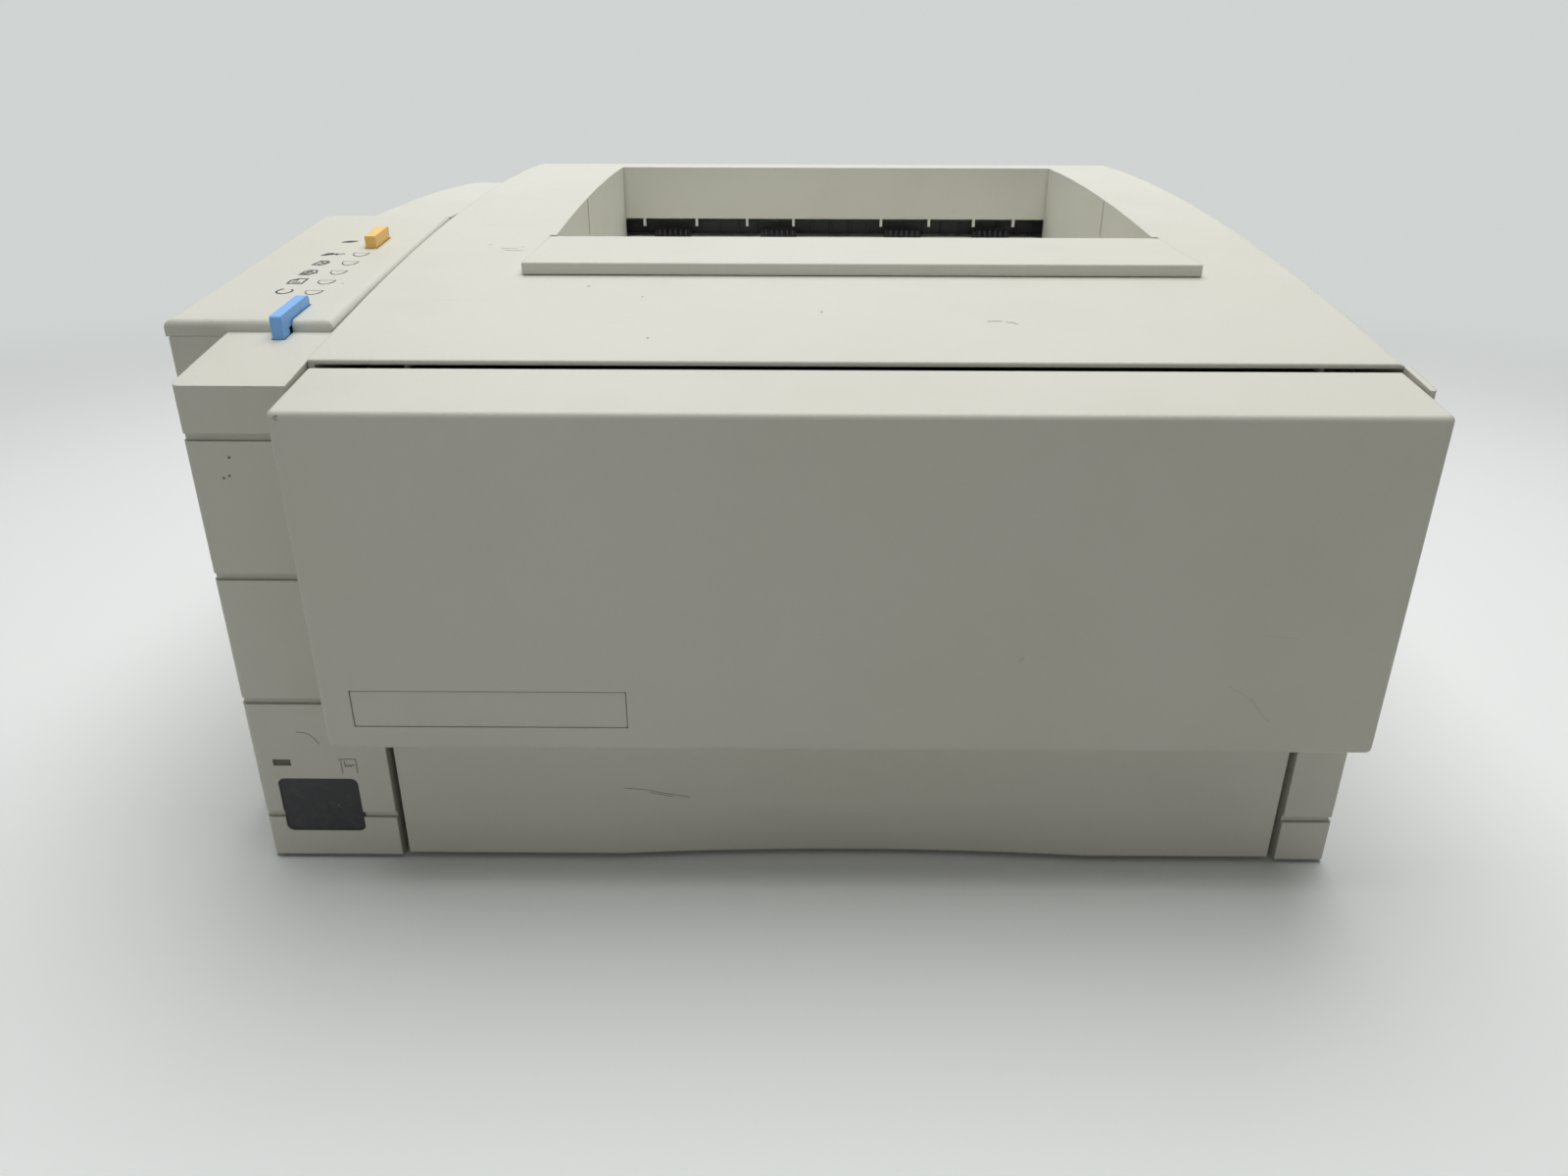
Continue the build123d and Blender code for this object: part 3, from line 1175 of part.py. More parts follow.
def side_frame(x0):
    """One side frame's sheet with its rear arm, ear and shaft holes, in the open part."""
    x1 = x0 + frame_sheet
    block(x0, x1, frame_front_y, frame_back_y, deck_z, frame_top_z)
    block(x0, x1, arm_front_y, arm_back_y, frame_top_z - 1, cover_hinge_z + ear_radius)
    block(x0, x1, arm_back_y - 1, cover_hinge_y, cover_hinge_z - ear_radius, cover_hinge_z + ear_radius)
    rod(x0, x1, cover_hinge_y, cover_hinge_z, ear_radius)
    rod(x0 - 1, x1 + 1, cover_hinge_y, cover_hinge_z, hinge_pin_radius + running_gap, Mode.SUBTRACT)
    rod(x0, x1, delivery_y, delivery_z, ear_radius)
    for shaft in through_shafts:
        rod(x0 - 1, x1 + 1, shaft[0], shaft[1], journal_radius + running_gap, Mode.SUBTRACT)


with BuildPart() as left_side_frame:
    side_frame(frame_left_x)
    for window_y in (drum_y - 110.0, drum_y - 60.0, drum_y + 60.0):
        block(frame_left_x - 1, frame_left_x + 3, window_y, window_y + 26, frame_top_z - 44,
              frame_top_z - 14,
              Mode.SUBTRACT)
save(left_side_frame.part, "left_side_frame")

with BuildPart() as right_side_frame:
    side_frame(frame_right_x - frame_sheet)
    for idler_station in stations.values():
        rod(frame_right_x - 1, shaft_right_x, idler_station[0], idler_station[1], journal_radius)
    rod(frame_right_x - 4, frame_right_x + 1, motor_station[0], motor_station[1], journal_radius,
        Mode.SUBTRACT)
save(right_side_frame.part, "right_side_frame")

# Front frame: cross plate with the feed mouth and the ears of the front door
front_plate_top_z = 150.0
mouth_bottom_z = 76.0
mouth_top_z = 124.0
shelf_left_x = bin_centre_x - 26
shelf_right_x = bin_centre_x + 26
with BuildPart() as front_frame:
    block(frame_left_x + frame_sheet, frame_right_x - frame_sheet, frame_front_y, frame_front_y + 2,
          deck_z + 1,
          front_plate_top_z)
    block(bin_centre_x - 114, bin_centre_x + 114, frame_front_y - 1, frame_front_y + 3, mouth_bottom_z,
          mouth_top_z, Mode.SUBTRACT)
    block(shelf_left_x - 24, shelf_right_x + 24, frame_front_y - 1, frame_front_y + 3, deck_z,
          deck_z + 12, Mode.SUBTRACT)
    block(shelf_left_x, shelf_right_x, frame_front_y, frame_front_y + 30, mouth_bottom_z - 2,
          mouth_bottom_z + 2)
    for ear_x in (ear_left_x, ear_right_x):
        block(ear_x, ear_x + door_ear_width, door_hinge_y, frame_front_y + 1,
              door_hinge_z - door_ear_radius,
              door_hinge_z + door_ear_radius)
        rod(ear_x, ear_x + door_ear_width, door_hinge_y, door_hinge_z, door_ear_radius)
        rod(ear_x - 1, ear_x + door_ear_width + 1, door_hinge_y, door_hinge_z,
            door_pin_radius + running_gap, Mode.SUBTRACT)
save(front_frame.part, "front_frame")

with BuildPart() as separation_pad:
    block(shelf_left_x + 6, shelf_right_x - 6, frame_front_y + 6, frame_front_y + 29, mouth_bottom_z + 2,
          tray_pickup_z - tray_pickup_radius - nip_gap)
save(separation_pad.part, "separation_pad")

# Paper guide under the transfer roller, cut out where the rollers reach through
guide_front_y = frame_front_y + 46.0
guide_back_y = fuser_y - 26.0
guide_top_z = 82.0
inner_left_x = frame_left_x + frame_sheet
inner_right_x = frame_right_x - frame_sheet
with BuildPart() as transfer_guide:
    block(inner_left_x, inner_right_x, guide_front_y, guide_back_y, guide_top_z - 3, guide_top_z)
    for flange_x in (inner_left_x, inner_right_x - 2):
        block(flange_x, flange_x + 2, guide_front_y, guide_back_y, guide_top_z - 16, guide_top_z - 2)
    for rib in range(12):
        rib_x = roller_left_x + 8 + rib * (paper_width - 18) / 11
        block(rib_x, rib_x + 1.6, drum_y + 14, guide_back_y, guide_top_z - 1, paper_z - 0.6)
    for slot_y, slot_z, slot_radius in (
        (registration_station[0], registration_station[1], feed_radius + 1.5),
        (drum_y, transfer_z, transfer_radius + 1.5),
    ):
        rod(roller_left_x - 2, roller_right_x + 2, slot_y, slot_z, slot_radius, Mode.SUBTRACT)
        rod(inner_left_x - 1, inner_right_x + 1, slot_y, slot_z, journal_radius + 0.5, Mode.SUBTRACT)
save(transfer_guide.part, "transfer_guide")

# Toner and drum cartridge, scanner box and fuser
with BuildPart() as cartridge_shell:
    shell_left_x = roller_left_x - 18
    shell_right_x = roller_right_x + 18
    side_prism(shell_left_x, shell_right_x, [
        (drum_y - 95, drum_z + 18), (drum_y - 88, drum_z + 58), (drum_y - 20, drum_z + 64),
        (drum_y + 18, drum_z + 50), (drum_y + 28, drum_z + 22), (drum_y + 24, drum_z - 2),
        (drum_y - 24, drum_z - 2), (drum_y - 60, drum_z + 4),
    ])
    rod(roller_left_x - 1, roller_right_x + 1, drum_y, drum_z, drum_radius + 1.2, Mode.SUBTRACT)
    rod(shell_left_x - 1, shell_right_x + 1, drum_y, drum_z, journal_radius + 0.4, Mode.SUBTRACT)
save(cartridge_shell.part, "cartridge_shell")

scanner_front_y = drum_y + 38.0
scanner_back_y = drum_y + 150.0
scanner_z = 132.0
scanner_top_z = 170.0
with BuildPart() as scanner_housing:
    side_prism(inner_left_x, inner_right_x - 24, [
        (scanner_front_y, scanner_z), (scanner_front_y, scanner_top_z - 10), (scanner_front_y + 10,
                                                                              scanner_top_z),
        (scanner_back_y, scanner_top_z), (scanner_back_y, scanner_z),
    ])
    block(inner_left_x + 2, inner_right_x - 26, scanner_front_y + 4, scanner_back_y - 2, scanner_z + 2.5,
          scanner_top_z - 2.5, Mode.SUBTRACT)
save(scanner_housing.part, "scanner_housing")

with BuildPart() as fuser_housing:
    side_prism(inner_left_x, inner_right_x, [
        (fuser_y - 22, heat_z + 4), (fuser_y - 14, 124), (fuser_y + 24, 124), (fuser_y + 28, heat_z + 4),
    ])
    side_prism(inner_left_x, inner_right_x, [
        (fuser_y - 22, press_z + 2), (fuser_y + 22, press_z + 2), (fuser_y + 16, 62), (fuser_y - 16, 62),
    ])
    rod(roller_left_x - 2, roller_right_x + 2, fuser_y, heat_z, heat_radius + 1.5, Mode.SUBTRACT)
    rod(roller_left_x - 2, roller_right_x + 2, fuser_y, press_z, press_radius + 1.5, Mode.SUBTRACT)
    for shaft_z in (heat_z, press_z):
        rod(inner_left_x - 1, inner_right_x + 1, fuser_y, shaft_z, journal_radius + 0.4, Mode.SUBTRACT)
    for end_x in (inner_left_x, inner_right_x - 3):
        block(end_x, end_x + 3, fuser_y + 15, fuser_y + 21, press_z + 1, heat_z + 5)
save(fuser_housing.part, "fuser_housing")

# Comb that turns the sheet up into the bin, in front of the delivery rollers
comb_front_y = bin_back_y + bin_wall + 1.2
comb_back_y = rear_y - 0.3
with BuildPart() as delivery_guide:
    block(inner_left_x, inner_right_x, delivery_y + 9, comb_back_y, delivery_z - 14, delivery_z - 2)
    block(inner_left_x, inner_right_x, comb_front_y, comb_back_y, delivery_z - 16, delivery_z - 13)
    for roller_x in delivery_places:
        for rib in range(6):
            rib_x = roller_x - 8 + rib * 3.2
            block(rib_x, rib_x + 1.0, comb_front_y, delivery_y, delivery_z - 14, delivery_z + 5.5)
    for roller_x in delivery_places:
        rod(roller_x - 12, roller_x + 12, delivery_y, delivery_z, delivery_radius + 0.6, Mode.SUBTRACT)
    rod(inner_left_x - 1, inner_right_x + 1, delivery_y, delivery_z, journal_radius + 0.5, Mode.SUBTRACT)
save(delivery_guide.part, "delivery_guide")

# Drive motor, circuit boards, fan and connectors
with BuildPart() as main_motor:
    motor_y, motor_z = motor_station[0], motor_station[1]
    rod(inner_right_x - 16, inner_right_x, motor_y, motor_z, 18.0)
    rod(inner_right_x - 6, inner_right_x + 1, motor_y, motor_z, journal_radius, Mode.SUBTRACT)
save(main_motor.part, "main_motor")

with BuildPart() as power_board:
    block(board_left_x, board_right_x, board_front_y, board_back_y, board_z, board_z + board_sheet)
    for step_x, step_y, width, depth, height in (
        (18, 26, 18, 24, 5.0), (50, 46, 12, 12, 6.5), (80, 26, 22, 14, 5.0),
        (130, 136, 30, 20, 6.5), (190, 146, 16, 30, 5.5), (240, 36, 20, 26, 6.0),
    ):
        part_x = board_left_x + step_x
        part_y = board_front_y + step_y
        block(part_x, part_x + width, part_y, part_y + depth, board_z + 1, board_z + board_sheet + height)
save(power_board.part, "power_board")

with BuildPart() as formatter_board:
    formatter_x = left_x - 4.0
    block(formatter_x, formatter_x + board_sheet, panel_front_y + 20, bay_back_y - 8, 12, 170)
    for part_y, part_z, width, height in ((-80, 60, 40, 40), (-10, 70, 30, 30), (60, 40, 20, 50),
                                          (60, 110, 20, 40)):
        block(formatter_x - 3, formatter_x + 1, part_y, part_y + width, part_z, part_z + height)
save(formatter_board.part, "formatter_board")

with BuildPart() as parallel_port:
    block(port_left_x + 0.3, formatter_x, bay_back_y - 14, bay_back_y - wall - 0.2, port_bottom_z - 1,
          port_top_z + 1)
    block(port_left_x + 0.3, port_right_x - 0.3, bay_back_y - wall - 1, bay_back_y + 2, port_bottom_z + 0.3,
          port_top_z - 0.3)
    block(port_left_x + 3.0, port_right_x - 3.0, bay_back_y - 6, bay_back_y + 3, port_bottom_z + 6,
          port_top_z - 6,
          Mode.SUBTRACT)
save(parallel_port.part, "parallel_port")

fan_width = 60.0
with BuildPart() as fan_housing:
    block(frame_right_x, frame_right_x + 12, fan_y - fan_width / 2, fan_y + fan_width / 2,
          fan_z - fan_width / 2, fan_z + fan_width / 2)
    rod(frame_right_x + 2, frame_right_x + 13, fan_y, fan_z, fan_width / 2 - 2, Mode.SUBTRACT)
    rod(frame_right_x + 1, frame_right_x + 4, fan_y, fan_z, journal_radius - 1)
save(fan_housing.part, "fan_housing")

with BuildPart() as fan_rotor:
    rod(frame_right_x + 2.5, frame_right_x + 11, fan_y, fan_z, 11.0)
    rod(frame_right_x + 2, frame_right_x + 4.5, fan_y, fan_z, journal_radius - 1 + running_gap,
        Mode.SUBTRACT)
    for blade in range(7):
        with BuildSketch(Plane((frame_right_x + 3, fan_y, fan_z), x_dir=(0, 1, 0),
                         z_dir=(1, 0, 0))) as blade_end:
            with Locations(Rotation(0, 0, blade * 360 / 7)):
                with Locations((17.5, 0)):
                    Rectangle(15, 1.6)
        extrude(blade_end.sketch, amount=7)
save(fan_rotor.part, "fan_rotor")

with BuildPart() as power_inlet:
    block(inlet_x - inlet_width / 2 + 0.2, inlet_x + inlet_width / 2 - 0.2, rear_y - 20, back_y - 0.5,
          inlet_z - inlet_height / 2 + 0.2, inlet_z + inlet_height / 2 - 0.2)
    block(inlet_x - 11.5, inlet_x + 11.5, rear_y - 14, back_y + 1, inlet_z - 7.5, inlet_z + 7.5,
          Mode.SUBTRACT)
    for pin_x, pin_z in ((-7.0, -1.5), (0.0, 2.0), (7.0, -1.5)):
        block(inlet_x + pin_x - 1, inlet_x + pin_x + 1, rear_y - 15, rear_y - 1, inlet_z + pin_z - 2,
              inlet_z + pin_z + 2)
save(power_inlet.part, "power_inlet")

with BuildPart() as power_switch:
    side_prism(inlet_x - switch_width / 2 + 0.3, inlet_x + switch_width / 2 - 0.3, [
        (switch_pivot_y - 2, switch_z - 6.2), (switch_pivot_y + 5.0,
                                               switch_z - 6.4), (switch_pivot_y + 4.0, switch_z),
        (switch_pivot_y + 6.6, switch_z + 6.0), (switch_pivot_y - 2, switch_z + 5.4),
    ])
    rod(inlet_x - switch_width / 2 - wall + 0.2, inlet_x + switch_width / 2 + wall - 0.2,
        switch_pivot_y, switch_z,
        rear_pin_radius)
save(power_switch.part, "power_switch")

with BuildPart() as cover_screws:
    for screw_x in screw_places:
        with Locations(Location((screw_x, back_y - screw_head_depth / 2, screw_z), (90, 0, 0))):
            Cylinder(screw_head_radius, screw_head_depth)
        with Locations(Location((screw_x, back_y - screw_head_depth - 4.5, screw_z), (90, 0, 0))):
            Cylinder(screw_radius, 9.5)
        with Locations((screw_x, back_y, screw_z)):
            Box(0.9, 1.2, 4.6, mode=Mode.SUBTRACT)
            Box(4.6, 1.2, 0.9, mode=Mode.SUBTRACT)
save(cover_screws.part, "cover_screws")
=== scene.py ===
import json
import math
import bpy
import bmesh
from mathutils import Matrix, Vector


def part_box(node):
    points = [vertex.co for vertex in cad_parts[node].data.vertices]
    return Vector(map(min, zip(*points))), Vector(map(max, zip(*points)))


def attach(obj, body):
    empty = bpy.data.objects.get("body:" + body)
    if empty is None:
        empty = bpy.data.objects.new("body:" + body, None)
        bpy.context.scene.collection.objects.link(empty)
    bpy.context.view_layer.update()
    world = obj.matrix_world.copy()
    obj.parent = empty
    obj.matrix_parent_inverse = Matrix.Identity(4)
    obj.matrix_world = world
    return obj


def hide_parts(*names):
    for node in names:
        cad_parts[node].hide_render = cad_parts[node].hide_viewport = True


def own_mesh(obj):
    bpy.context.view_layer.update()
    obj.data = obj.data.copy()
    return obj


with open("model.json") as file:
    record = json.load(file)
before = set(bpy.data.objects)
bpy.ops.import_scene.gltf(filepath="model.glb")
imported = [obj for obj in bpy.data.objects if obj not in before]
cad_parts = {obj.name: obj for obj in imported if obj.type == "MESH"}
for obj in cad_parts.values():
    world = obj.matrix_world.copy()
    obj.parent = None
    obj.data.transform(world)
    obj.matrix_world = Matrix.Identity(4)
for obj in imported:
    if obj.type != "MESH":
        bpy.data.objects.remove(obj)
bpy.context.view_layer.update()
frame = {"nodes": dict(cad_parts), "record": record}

nodes = frame["nodes"]
mm = 0.001
mixFirst = 6  # a Mix node's colour sockets, which share their names with its number sockets
mixSecond = 7
mixResult = 2
print("stage: frame loaded,", len(nodes), "nodes")


# Camera, at the place and angle that were fitted to the photograph
cameraSettings = {
    "place": (6.62, -502.19, 242.64),  # in millimetres
    "right": (0.99998206, 0.00511072, 0.00312478),
    "up": (-0.00487205, 0.39039127, 0.92063615),
    "lens": 24.257,
    "sensor": 36.0,
    "clipStart": 0.01,
}


def makeCamera(settings):
    data = bpy.data.cameras.new("photoCamera")
    data.lens = settings["lens"]
    data.sensor_width = settings["sensor"]
    data.clip_start = settings["clipStart"]
    camera = bpy.data.objects.new("photoCamera", data)
    bpy.context.scene.collection.objects.link(camera)
    right = Vector(settings["right"]).normalized()
    up = Vector(settings["up"]).normalized()
    back = right.cross(up)
    turn = Matrix((right, up, back)).transposed().to_4x4()
    camera.matrix_world = Matrix.Translation(Vector(settings["place"]) * mm) @ turn
    bpy.context.scene.camera = camera


makeCamera(cameraSettings)

# Light: one broad softbox overhead, a weaker one low at the front left, and a pale surround
lightSettings = {
    "aim": (0, 0, 0.1),
    "topPlace": (0.05, 0.25, 1.55), "topSize": 1.5, "topPower": 25.0,
    "frontPlace": (-0.35, -1.6, 0.32), "frontSize": 1.0, "frontPower": 2.3,
    "surround": 0.115, "roomColour": (1.0, 0.995, 0.95),
    "floorSize": 6.0, "floorRoughness": 0.75, "floorColour": (0.90, 0.925, 0.915),
    "bounceColour": (0.50, 0.505, 0.485),  # what the floor throws back on the part
    "backdropColour": (0.63, 0.655, 0.645),
    "fadeFrom": 0.55, "fadeTo": 1.5,  # how far out the floor runs into the backdrop
}


def addLamp(name, place, aim, size, power):
    data = bpy.data.lights.new(name, "AREA")
    data.shape = "SQUARE"
    data.size = size
    data.energy = power
    lamp = bpy.data.objects.new(name, data)
    bpy.context.scene.collection.objects.link(lamp)
    lamp.location = place
    lamp.rotation_euler = (Vector(aim) - Vector(place)).to_track_quat("-Z", "Y").to_euler()


def straightRays(tree, ray):
    # gives 1 for rays that show the background: from the camera, off a shiny face or through glass
    total = ray.outputs["Is Camera Ray"]
    for kind in ("Is Glossy Ray", "Is Transmission Ray"):
        most = tree.nodes.new("ShaderNodeMath")
        most.operation = "MAXIMUM"
        tree.links.new(total, most.inputs[0])
        tree.links.new(ray.outputs[kind], most.inputs[1])
        total = most.outputs[0]
    return total


def makeSurround(settings):
    world = bpy.data.worlds.new("paleRoom")
    bpy.context.scene.world = world
    world.use_nodes = True
    tree = world.node_tree
    tree.nodes.clear()
    out = tree.nodes.new("ShaderNodeOutputWorld")
    room = tree.nodes.new("ShaderNodeBackground")
    room.inputs["Color"].default_value = (*settings["roomColour"], 1)
    room.inputs["Strength"].default_value = settings["surround"]
    backdrop = tree.nodes.new("ShaderNodeBackground")
    backdrop.inputs["Color"].default_value = (*settings["backdropColour"], 1)
    backdrop.inputs["Strength"].default_value = 1.0
    ray = tree.nodes.new("ShaderNodeLightPath")
    mix = tree.nodes.new("ShaderNodeMixShader")
    tree.links.new(straightRays(tree, ray), mix.inputs["Fac"])
    tree.links.new(room.outputs[0], mix.inputs[1])
    tree.links.new(backdrop.outputs[0], mix.inputs[2])
    tree.links.new(mix.outputs[0], out.inputs["Surface"])


def makeFloor(settings):
    mesh = bpy.data.meshes.new("floor")
    grid = bmesh.new()
    bmesh.ops.create_grid(grid, x_segments=1, y_segments=1, size=settings["floorSize"])
    grid.to_mesh(mesh)
    grid.free()
    floor = bpy.data.objects.new("floor", mesh)
    bpy.context.scene.collection.objects.link(floor)
    material = bpy.data.materials.new("paleFloor")
    material.use_nodes = True
    tree = material.node_tree
    skin = tree.nodes["Principled BSDF"]
    skin.inputs["Roughness"].default_value = settings["floorRoughness"]
    out = tree.nodes["Material Output"]
    place = tree.nodes.new("ShaderNodeTexCoord")
    reach = tree.nodes.new("ShaderNodeVectorMath")
    reach.operation = "LENGTH"
    fade = tree.nodes.new("ShaderNodeMapRange")
    fade.interpolation_type = "SMOOTHSTEP"
    fade.inputs["From Min"].default_value = settings["fadeFrom"]
    fade.inputs["From Max"].default_value = settings["fadeTo"]
    ray = tree.nodes.new("ShaderNodeLightPath")
    seen = straightRays(tree, ray)
    tone = tree.nodes.new("ShaderNodeMix")
    tone.data_type = "RGBA"
    tone.inputs[mixFirst].default_value = (*settings["bounceColour"], 1)
    tone.inputs[mixSecond].default_value = (*settings["floorColour"], 1)
    tree.links.new(seen, tone.inputs["Factor"])
    tree.links.new(tone.outputs[mixResult], skin.inputs["Base Color"])
    share = tree.nodes.new("ShaderNodeMath")
    share.operation = "MULTIPLY"
    glow = tree.nodes.new("ShaderNodeEmission")
    glow.inputs["Color"].default_value = (*settings["backdropColour"], 1)
    mix = tree.nodes.new("ShaderNodeMixShader")
    tree.links.new(place.outputs["Object"], reach.inputs[0])
    tree.links.new(reach.outputs["Value"], fade.inputs["Value"])
    tree.links.new(fade.outputs["Result"], share.inputs[0])
    tree.links.new(seen, share.inputs[1])
    tree.links.new(share.outputs[0], mix.inputs["Fac"])
    tree.links.new(skin.outputs[0], mix.inputs[1])
    tree.links.new(glow.outputs[0], mix.inputs[2])
    tree.links.new(mix.outputs[0], out.inputs["Surface"])
    mesh.materials.append(material)


for lampName, end in (("topSoftbox", "top"), ("frontFill", "front")):
    addLamp(lampName, lightSettings[end + "Place"], lightSettings["aim"],
            lightSettings[end + "Size"], lightSettings[end + "Power"])
makeSurround(lightSettings)
makeFloor(lightSettings)
bpy.context.scene.view_settings.view_transform = "Standard"
print("stage: camera, lamps and floor")


class Shader:  # keeps a material's tree and adds nodes to it in few words
    def __init__(self, name):
        self.material = bpy.data.materials.new(name)
        self.material.use_nodes = True
        self.tree = self.material.node_tree
        self.skin = self.tree.nodes["Principled BSDF"]
        self.coords = self.tree.nodes.new("ShaderNodeTexCoord").outputs["Object"]

    def add(self, kind, inputs=None, **values):
        node = self.tree.nodes.new(kind)
        for key, value in values.items():
            setattr(node, key, value)
        for key, value in (inputs or {}).items():
            self.put(node.inputs[key], value)
        return node

    def put(self, socket, value):
        if isinstance(value, bpy.types.NodeSocket):
            self.tree.links.new(value, socket)
        elif hasattr(value, "__len__") and len(value) == 3 and socket.type == "RGBA":
            socket.default_value = (*value, 1)
        else:
            socket.default_value = value

    def math(self, operation, first, second=0.5, clamp=False):
        node = self.add("ShaderNodeMath", operation=operation, use_clamp=clamp)
        self.put(node.inputs[0], first)
        self.put(node.inputs[1], second)
        return node.outputs[0]

    def noise(self, scale, detail=3.0, stretch=None, seed=0.0):
        coords = self.coords
        if stretch or seed:
            shift = self.add("ShaderNodeMapping", {"Vector": coords})
            shift.inputs["Location"].default_value = (seed, 0.7 * seed, -0.4 * seed)
            shift.inputs["Scale"].default_value = stretch or (1, 1, 1)
            coords = shift.outputs[0]
        node = self.add("ShaderNodeTexNoise", {"Vector": coords, "Scale": scale, "Detail": detail})
        return node.outputs["Fac"]

    def spread(self, value, low, high):
        node = self.add("ShaderNodeMapRange", {"Value": value, "From Min": low, "From Max": high})
        return node.outputs["Result"]

    def blend(self, share, first, second):
        node = self.add("ShaderNodeMix", data_type="RGBA")
        self.put(node.inputs["Factor"], share)
        self.put(node.inputs[mixFirst], first)
        self.put(node.inputs[mixSecond], second)
        return node.outputs[mixResult]

    def specks(self, scale, size, share, seed=0.0):
        # small spots, one at most in each cell and only in a share of the cells
        shift = self.add("ShaderNodeMapping", {"Vector": self.coords})
        shift.inputs["Location"].default_value = (seed, seed * 0.3, seed * 0.6)
        cells = self.add("ShaderNodeTexVoronoi", {"Vector": shift.outputs[0], "Scale": scale})
        parts = self.add("ShaderNodeSeparateColor", {"Color": cells.outputs["Color"]})
        chosen = self.math("LESS_THAN", parts.outputs[0], share)
        reach = self.math("MULTIPLY", parts.outputs[1], size)
        near = self.math("LESS_THAN", cells.outputs["Distance"], reach)
        return self.math("MULTIPLY", chosen, near)

    def scratches(self, scale, stretch, share, seed=0.0):
        # thin broken lines that run along the axis with the smallest stretch
        lines = self.noise(scale, 1.0, stretch, seed)
        crest = self.math("ABSOLUTE", self.math("SUBTRACT", lines, 0.5))
        thin = self.math("LESS_THAN", crest, 0.004)
        patches = self.math("GREATER_THAN", self.noise(14.0, 2.0, None, seed + 3.0), 1.0 - share)
        return self.math("MULTIPLY", thin, patches)

    def finish(self, colour, roughness, height=None, depth=0.0001, round=0.0):
        self.put(self.skin.inputs["Base Color"], colour)
        self.put(self.skin.inputs["Roughness"], roughness)
        normal = None
        if round:
            normal = self.add("ShaderNodeBevel", {"Radius": round}, samples=4).outputs[0]
        if height is not None:
            bump = self.add("ShaderNodeBump", {"Height": height, "Distance": depth, "Strength": 1.0})
            if normal is not None:
                self.put(bump.inputs["Normal"], normal)
            normal = bump.outputs[0]
        if normal is not None:
            self.put(self.skin.inputs["Normal"], normal)
        return self.material


def shade(colour, factor):
    return tuple(min(1.0, c * factor) for c in colour)


# The printer's ivory and grey covers: aged in clouds, soiled, specked, scuffed, and darkened in
# corners and seams by ambient occlusion, which is painted shade that also stands for grime
plasticSettings = {
    "cloudScale": 5.0, "cloudFrom": 0.38, "cloudTo": 0.66,
    "soilScale": 23.0, "soilFrom": 0.52, "soilTo": 0.80, "soilShare": 0.22, "soilTone": 0.86,
    "mottleScale": 700.0, "mottleShare": 0.10, "mottleTone": 0.90,
    "speckScale": 38.0, "speckSize": 0.045, "speckDepth": 0.55, "speckTone": 0.35,
    "scuffScale": 9.0, "scuffStretch": (1.0, 6.0, 6.0), "scuffDepth": 0.22, "scuffTone": 0.62,
    "shadeAndGrimeReach": 0.0035, "shadeAndGrimeFrom": 0.86, "shadeAndGrimeShare": 0.65, "shadeAndGrimeColour": (0.21, 0.19, 0.15),
    "dullScale": 60.0, "dullShare": 0.12, "pitShare": 0.8, "gloss": 0.42,
}


def grainedPlastic(name, colour, aged, agedShare=0.6, roughness=0.5, grain=0.00006, grainScale=1500.0,
                   speckShare=0.04, scuffShare=0.28, round=0.0007):
    s = Shader(name)
    given = plasticSettings
    cloud = s.spread(s.noise(given["cloudScale"], 5.0), given["cloudFrom"], given["cloudTo"])
    base = s.blend(s.math("MULTIPLY", cloud, agedShare), colour, aged)
    soil = s.spread(s.noise(given["soilScale"], 6.0, None, 4.0), given["soilFrom"], given["soilTo"])
    base = s.blend(s.math("MULTIPLY", soil, given["soilShare"]), base, shade(aged, given["soilTone"]))
    mottle = s.spread(s.noise(given["mottleScale"], 2.0), 0.3, 0.7)
    base = s.blend(s.math("MULTIPLY", mottle, given["mottleShare"]), base,
                   shade(colour, given["mottleTone"]))
    spots = s.specks(given["speckScale"], given["speckSize"], speckShare, 2.0)
    base = s.blend(s.math("MULTIPLY", spots, given["speckDepth"]), base,
                   shade(aged, given["speckTone"]))
    scuffs = s.scratches(given["scuffScale"], given["scuffStretch"], scuffShare, 5.0)
    base = s.blend(s.math("MULTIPLY", scuffs, given["scuffDepth"]), base,
                   shade(aged, given["scuffTone"]))
    # painted shade: ambient occlusion darkens hollows, corners and seams towards a dark brown, also
    # meant as grime
    hollow = s.add("ShaderNodeAmbientOcclusion", {"Distance": given["shadeAndGrimeReach"]}, samples=6)
    shadeAndGrime = s.math("SUBTRACT", given["shadeAndGrimeFrom"], hollow.outputs["AO"], clamp=True)
    base = s.blend(s.math("MULTIPLY", shadeAndGrime, given["shadeAndGrimeShare"], clamp=True), base,
                   given["shadeAndGrimeColour"])
    dull = s.spread(s.noise(given["dullScale"], 3.0, None, 7.0), 0.3, 0.7)
    rough = s.math("ADD", s.math("MULTIPLY", dull, given["dullShare"]), roughness - 0.06)
    fine = s.noise(grainScale, 2.0)
    pits = s.noise(grainScale * 0.4, 1.0, None, 9.0)
    height = s.math("ADD", fine, s.math("MULTIPLY", pits, given["pitShare"]))
    material = s.finish(base, rough, height, grain, round)
    s.skin.inputs["Specular IOR Level"].default_value = given["gloss"]
    return material


dustSettings = {"film": (0.16, 0.155, 0.145), "lint": (0.30, 0.29, 0.27), "lintScale": 150.0,
                "lintSize": 0.10, "lintShare": 0.10, "lintDepth": 0.4}


